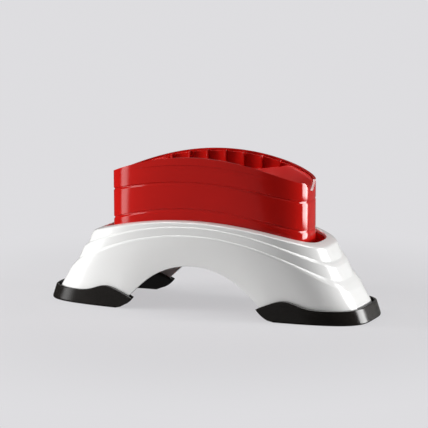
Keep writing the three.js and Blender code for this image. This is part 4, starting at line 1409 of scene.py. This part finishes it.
def screw_tree():
    """Pan head screws with a cross recess, one on each point, with their shanks pointing up."""
    tree, put, output = new_shape_tree("Pan head screws", {"Geometry": "Geometry"}, SCREW_INPUTS)
    head_height, dome = put["Head Height"], put["Head Dome"]
    head_sizes = {
        "Vertices": SCREW_SIDES,
        "Side Segments": SCREW_SIDE_STEPS,
        "Fill Segments": 1,
        "Radius": put["Head Radius"],
        "Depth": head_height,
    }
    plain = add_node(tree, "GeometryNodeMeshCylinder", head_sizes).outputs["Mesh"]
    x, y, z = parts_of(tree, add_node(tree, "GeometryNodeInputPosition").outputs[0])
    down = calc("MAXIMUM", head_height / 2 - dome * DOME_DROP_SHARE - z - dome, 0)
    share_down = calc("MINIMUM", down / dome, 1)
    narrow = 1 - share_down * share_down * DOME_NARROWING_SHARE
    domed = moved(tree, plain, Position=vector_of(tree, x * narrow, y * narrow, z))

    cross = add_node(tree, "GeometryNodeJoinGeometry")
    plan = (put["Recess Length"], put["Recess Width"])
    for sides in (plan, reversed(plan)):
        size = vector_of(tree, *sides, put["Recess Depth"] * 2)
        slot = add_node(tree, "GeometryNodeMeshCube", {"Size": size})
        set_inputs(tree, cross, {"Geometry": slot.outputs["Mesh"]})
    way_down = vector_of(tree, 0, 0, head_height / -2)
    recess = add_node(
        tree, "GeometryNodeTransform", {"Geometry": cross.outputs["Geometry"], "Translation": way_down}
    )
    meshes = {"Mesh 1": domed, "Mesh 2": recess.outputs["Geometry"]}
    head = add_node(tree, "GeometryNodeMeshBoolean", meshes, operation="DIFFERENCE").outputs["Mesh"]

    shank_sizes = {"Vertices": SCREW_SIDES // 2, "Radius": put["Shank Radius"], "Depth": 1}
    shank = add_node(tree, "GeometryNodeMeshCylinder", shank_sizes).outputs["Mesh"]
    reach = read_values(tree, "shank_length")
    both = add_node(tree, "GeometryNodeJoinGeometry")
    for mesh, rise, stretch in ((head, head_height / -2, 1), (shank, reach / 2, reach)):
        points = moved(tree, put["Geometry"], Offset=vector_of(tree, 0, 0, rise))
        copies = put_on(tree, points, mesh, Scale=vector_of(tree, 1, 1, stretch))
        set_inputs(tree, both, {"Geometry": copies})
    finish_tree(tree, both.outputs["Geometry"], put["Material"], output)
    return tree


def make_screws(name, body, nodes):
    """Screws in the places of the CAD ones, as one mesh."""
    seats, lengths = [], []
    for node in nodes:
        low, high = (np.array(corner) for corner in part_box(node))
        seat = (low + high) / 2
        seat[2] = low[2] + SCREW_INPUTS["Head Height"]
        seats.append(seat)
        lengths.append(high[2] - seat[2])
    blank = bpy.data.meshes.new("screw_seats")
    blank.from_pydata([seat.tolist() for seat in seats], [], [])
    add_values(blank, "shank_length", lengths)
    values = {**SCREW_INPUTS, "Material": zinc_steel()}
    tree = bpy.data.node_groups.get("Pan head screws") or screw_tree()
    mesh = grown_mesh(name, tree, values, blank)
    return shown(name, mesh, zinc_steel(), body, nodes)


def make_all_screws():
    nodes = [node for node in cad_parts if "screw" in node]
    in_cradle = [node for node in nodes if node.startswith("saddle")]
    make_screws("base_screws", "base", [node for node in nodes if node not in in_cradle])
    make_screws("cradle_screws", "cradle", in_cradle)


# Stage

CAMERA_ANGLES = (24.05, 10.17, -0.19)
CAMERA_TARGET = (0.0003, 0, 0.0955)
CAMERA_DISTANCE = 2.423
CAMERA_LENS = 198.4
CAMERA_SENSOR = 36
CAMERA_REACH = 100
FLOOR_REACH = 30
FLOOR_NEAR, FLOOR_FAR = 0.2, 0.45
FLOOR_ROUGHNESS = 0.9
TOP_LAMP_SPREAD = math.radians(70)
TOP_LAMP_PLACE = (-0.1, -0.25, 1.2)
LAMP_AIM = (0, 0, 0.08)


def camera_matrix():
    """The photograph's viewpoint: azimuth, elevation and a slight roll about a point over the origin."""
    azimuth, elevation, roll = (math.radians(angle) for angle in CAMERA_ANGLES)
    right = Vector((math.cos(azimuth), math.sin(azimuth), 0))
    level = Vector((-math.sin(azimuth), math.cos(azimuth), 0))
    ahead = level * math.cos(elevation) - Vector((0, 0, 1)) * math.sin(elevation)
    up = right.cross(ahead)
    turned_right = right * math.cos(roll) + up * math.sin(roll)
    turned_up = up * math.cos(roll) - right * math.sin(roll)
    matrix = Matrix((turned_right, turned_up, -ahead)).transposed().to_4x4()
    matrix.translation = Vector(CAMERA_TARGET) - ahead * CAMERA_DISTANCE
    return matrix


def make_camera():
    data = bpy.data.cameras.new("camera")
    data.sensor_width = CAMERA_SENSOR
    data.lens = CAMERA_LENS
    data.clip_end = CAMERA_REACH
    camera = put_in_scene("camera", data)
    camera.matrix_world = camera_matrix()
    bpy.context.scene.camera = camera


def mixed(tree, part, first, second):
    """A shader that lies a share of the way from one to another."""
    return add_node(tree, "ShaderNodeMixShader", {"Fac": part, 1: first, 2: second}).outputs[0]


def make_floor():
    """A matt floor that shows one plain tone away from the object, and keeps the object's shadow."""
    stage = settings().stage
    mesh = bpy.data.meshes.new("floor")
    corners = [(-FLOOR_REACH, -FLOOR_REACH), (FLOOR_REACH, -FLOOR_REACH)]
    corners += [(-x, -y) for x, y in corners]
    mesh.from_pydata([(x, y, 0) for x, y in corners], [], [(0, 1, 2, 3)])
    material, tree, matt = new_material("floor")
    values = {"Base Color": (*stage.floor, 1), "Roughness": FLOOR_ROUGHNESS, "Specular IOR Level": 0}
    set_inputs(tree, matt, values)
    place = add_node(tree, "ShaderNodeTexCoord").outputs["Object"]
    distance = add_node(tree, "ShaderNodeVectorMath", {0: place}, operation="LENGTH")
    far = smooth_step(Field(tree, distance.outputs["Value"]), FLOOR_NEAR, FLOOR_FAR)
    rays = add_node(tree, "ShaderNodeLightPath").outputs
    in_view = Field(tree, rays["Is Camera Ray"])
    plain = add_node(tree, "ShaderNodeEmission", {"Color": (*stage.backdrop, 1), "Strength": in_view})
    plain_share = far + (1 - far) * in_view * stage.shadow_fill
    shown_floor = mixed(tree, plain_share, matt.outputs["BSDF"], plain.outputs["Emission"])
    clear = add_node(tree, "ShaderNodeBsdfTransparent").outputs[0]
    whole = mixed(tree, rays["Is Glossy Ray"], shown_floor, clear)
    set_inputs(tree, tree.nodes["Material Output"], {"Surface": whole})
    mesh.materials.append(material)
    put_in_scene("floor", mesh)


class BrightPanel(NamedTuple):
    """A bright panel that gloss shows. Turns are from the front towards +X, in degrees."""

    turn_low: float
    turn_high: float
    rise_low: float
    rise_high: float
    soft: float
    brightness: float


BRIGHT_PANELS = (
    BrightPanel(turn_low=-72, turn_high=-57, rise_low=-22, rise_high=60, soft=3, brightness=3),
    BrightPanel(turn_low=-57, turn_high=-6, rise_low=-30, rise_high=60, soft=3, brightness=0.13),
    BrightPanel(turn_low=105, turn_high=142, rise_low=-16, rise_high=38, soft=3, brightness=11),
    BrightPanel(turn_low=150, turn_high=181, rise_low=-20, rise_high=40, soft=3, brightness=0.2),
    BrightPanel(turn_low=-181, turn_high=-150, rise_low=-20, rise_high=40, soft=3, brightness=0.2),
    BrightPanel(turn_low=-181, turn_high=181, rise_low=51, rise_high=91, soft=5, brightness=9),
)


def panel_glow(panel, turn, rise):
    low, high, under, over, soft = (math.radians(angle) for angle in panel[:-1])
    return band(turn, low, high, soft) * band(rise, under, over, soft) * panel.brightness


def make_world():
    """Even dim light for surfaces, bright panels for gloss, and a plain backdrop for the camera."""
    stage = settings().stage
    world = bpy.data.worlds.new("studio")
    world.use_nodes = True
    tree = world.node_tree
    x, y, z = parts_of(tree, add_node(tree, "ShaderNodeTexCoord").outputs["Generated"])
    turn, rise = calc("ARCTAN2", x, y * -1), calc("ARCSINE", z)
    glow = sum((panel_glow(panel, turn, rise) for panel in BRIGHT_PANELS), start=stage.dark_room)
    rays = add_node(tree, "ShaderNodeLightPath").outputs
    in_gloss, *views = (Field(tree, rays[f"Is {kind} Ray"]) for kind in ("Glossy", "Camera", "Transmission"))
    in_view = calc("MAXIMUM", *views)
    strength = stage.surround + in_gloss * (glow - stage.surround) + in_view * (1 - stage.surround)
    tones = {"Factor": in_view, "A": (1, 1, 1, 1), "B": (*stage.backdrop, 1)}
    tone = add_node(tree, "ShaderNodeMix", tones, data_type="RGBA").outputs["Result"]
    set_inputs(tree, tree.nodes["Background"], {"Color": tone, "Strength": strength})
    bpy.context.scene.world = world


def link_lamp(name, data, place, target):
    lamp = put_in_scene(name, data)
    lamp.visible_glossy = False
    lamp.location = place
    ahead = Vector(target) - Vector(place)
    lamp.rotation_euler = ahead.to_track_quat("-Z", "Y").to_euler()


class SoftBox(NamedTuple):
    """A lamp with an upright rectangular face. Its turn is from the front towards +X, in degrees."""

    turn: float
    distance: float
    height: float
    face_width: float
    face_length: float


SOFT_BOXES = {
    "left": SoftBox(turn=-68, distance=1.15, height=0.18, face_width=0.25, face_length=0.35),
    "front": SoftBox(turn=-55, distance=1.15, height=0.3, face_width=0.3, face_length=0.4),
    "right": SoftBox(turn=100, distance=1.1, height=0.11, face_width=0.15, face_length=0.22),
}


def make_soft_box(name, box):
    data = bpy.data.lights.new(name, "AREA")
    data.shape = "RECTANGLE"
    data.size, data.size_y = box.face_width, box.face_length
    data.energy = getattr(settings().stage, name + "_light")
    turn = math.radians(box.turn)
    place = (box.distance * math.sin(turn), -box.distance * math.cos(turn), box.height)
    link_lamp(name, data, place, LAMP_AIM)


def make_top_lamp():
    data = bpy.data.lights.new("top", "SUN")
    data.energy = settings().stage.top_light
    data.angle = TOP_LAMP_SPREAD
    link_lamp("top", data, TOP_LAMP_PLACE, (0, 0, 0))


def make_stage():
    make_camera()
    make_floor()
    make_world()
    for name, box in SOFT_BOXES.items():
        make_soft_box(name, box)
    make_top_lamp()
    bpy.context.scene.view_settings.view_transform = "Standard"


# Operators


class RISER_OT_stage(bpy.types.Operator):
    """Make the camera, the floor and the lights."""

    bl_idname = "riser.stage"
    bl_label = "Stage"

    def execute(self, context):
        make_stage()
        return {"FINISHED"}


class RISER_OT_base_shell(bpy.types.Operator):
    """Make the moulded base's wall."""

    bl_idname = "riser.base_shell"
    bl_label = "Base shell"

    def execute(self, context):
        make_base_shell()
        return {"FINISHED"}


class RISER_OT_boots(bpy.types.Operator):
    """Make the two rubber boots."""

    bl_idname = "riser.boots"
    bl_label = "Boots"

    def execute(self, context):
        make_boot(-1, "boot_left")
        make_boot(1, "boot_right")
        return {"FINISHED"}


class RISER_OT_cradle_sleeve(bpy.types.Operator):
    """Make the grooved sleeve."""

    bl_idname = "riser.cradle_sleeve"
    bl_label = "Cradle sleeve"

    def execute(self, context):
        make_cradle_sleeve()
        return {"FINISHED"}


class RISER_OT_tyre_saddle(bpy.types.Operator):
    """Make the saddle's tray and its ribs."""

    bl_idname = "riser.tyre_saddle"
    bl_label = "Tyre saddle"

    def execute(self, context):
        make_tyre_saddle()
        make_saddle_ribs()
        return {"FINISHED"}


class RISER_OT_lock(bpy.types.Operator):
    """Finish the liner, the slide bolts and their keepers."""

    bl_idname = "riser.lock"
    bl_label = "Liner and lock"

    def execute(self, context):
        make_liner()
        for node in ("bolt_left", "bolt_right"):
            make_bolt(node)
        for node in ("bolt_keeper_left", "bolt_keeper_right"):
            make_keeper(node)
        return {"FINISHED"}


class RISER_OT_screws(bpy.types.Operator):
    """Make the screws of the base and of the cradle."""

    bl_idname = "riser.screws"
    bl_label = "Screws"

    def execute(self, context):
        make_all_screws()
        return {"FINISHED"}


class RISER_PT_panel(bpy.types.Panel):
    """Lists the settings and the pieces."""

    bl_idname = "RISER_PT_panel"
    bl_label = "Riser block"
    bl_space_type = "VIEW_3D"
    bl_region_type = "UI"
    bl_category = "Riser block"

    def draw(self, context):
        for group_name in ("base", "cradle", "boots", "finish", "stage"):
            group = getattr(context.scene.riser_block, group_name)
            box = self.layout.box()
            for name in group.__annotations__:
                box.prop(group, name)
        for operator in OPERATORS:
            self.layout.operator(operator.bl_idname)


OPERATORS = (
    RISER_OT_stage,
    RISER_OT_base_shell,
    RISER_OT_boots,
    RISER_OT_cradle_sleeve,
    RISER_OT_tyre_saddle,
    RISER_OT_lock,
    RISER_OT_screws,
)

CLASSES = (
    RiserBaseSettings,
    RiserCradleSettings,
    RiserBootSettings,
    RiserFinishSettings,
    RiserStageSettings,
    RiserSettings,
    *OPERATORS,
    RISER_PT_panel,
)


def register():
    for kind in CLASSES:
        bpy.utils.register_class(kind)
    bpy.types.Scene.riser_block = PointerProperty(type=RiserSettings)


def unregister():
    del bpy.types.Scene.riser_block
    for kind in reversed(CLASSES):
        bpy.utils.unregister_class(kind)


def main():
    register()
    for operator in OPERATORS:
        family, name = operator.bl_idname.split(".")
        getattr(getattr(bpy.ops, family), name)()


if __name__ == "__main__":
    main()
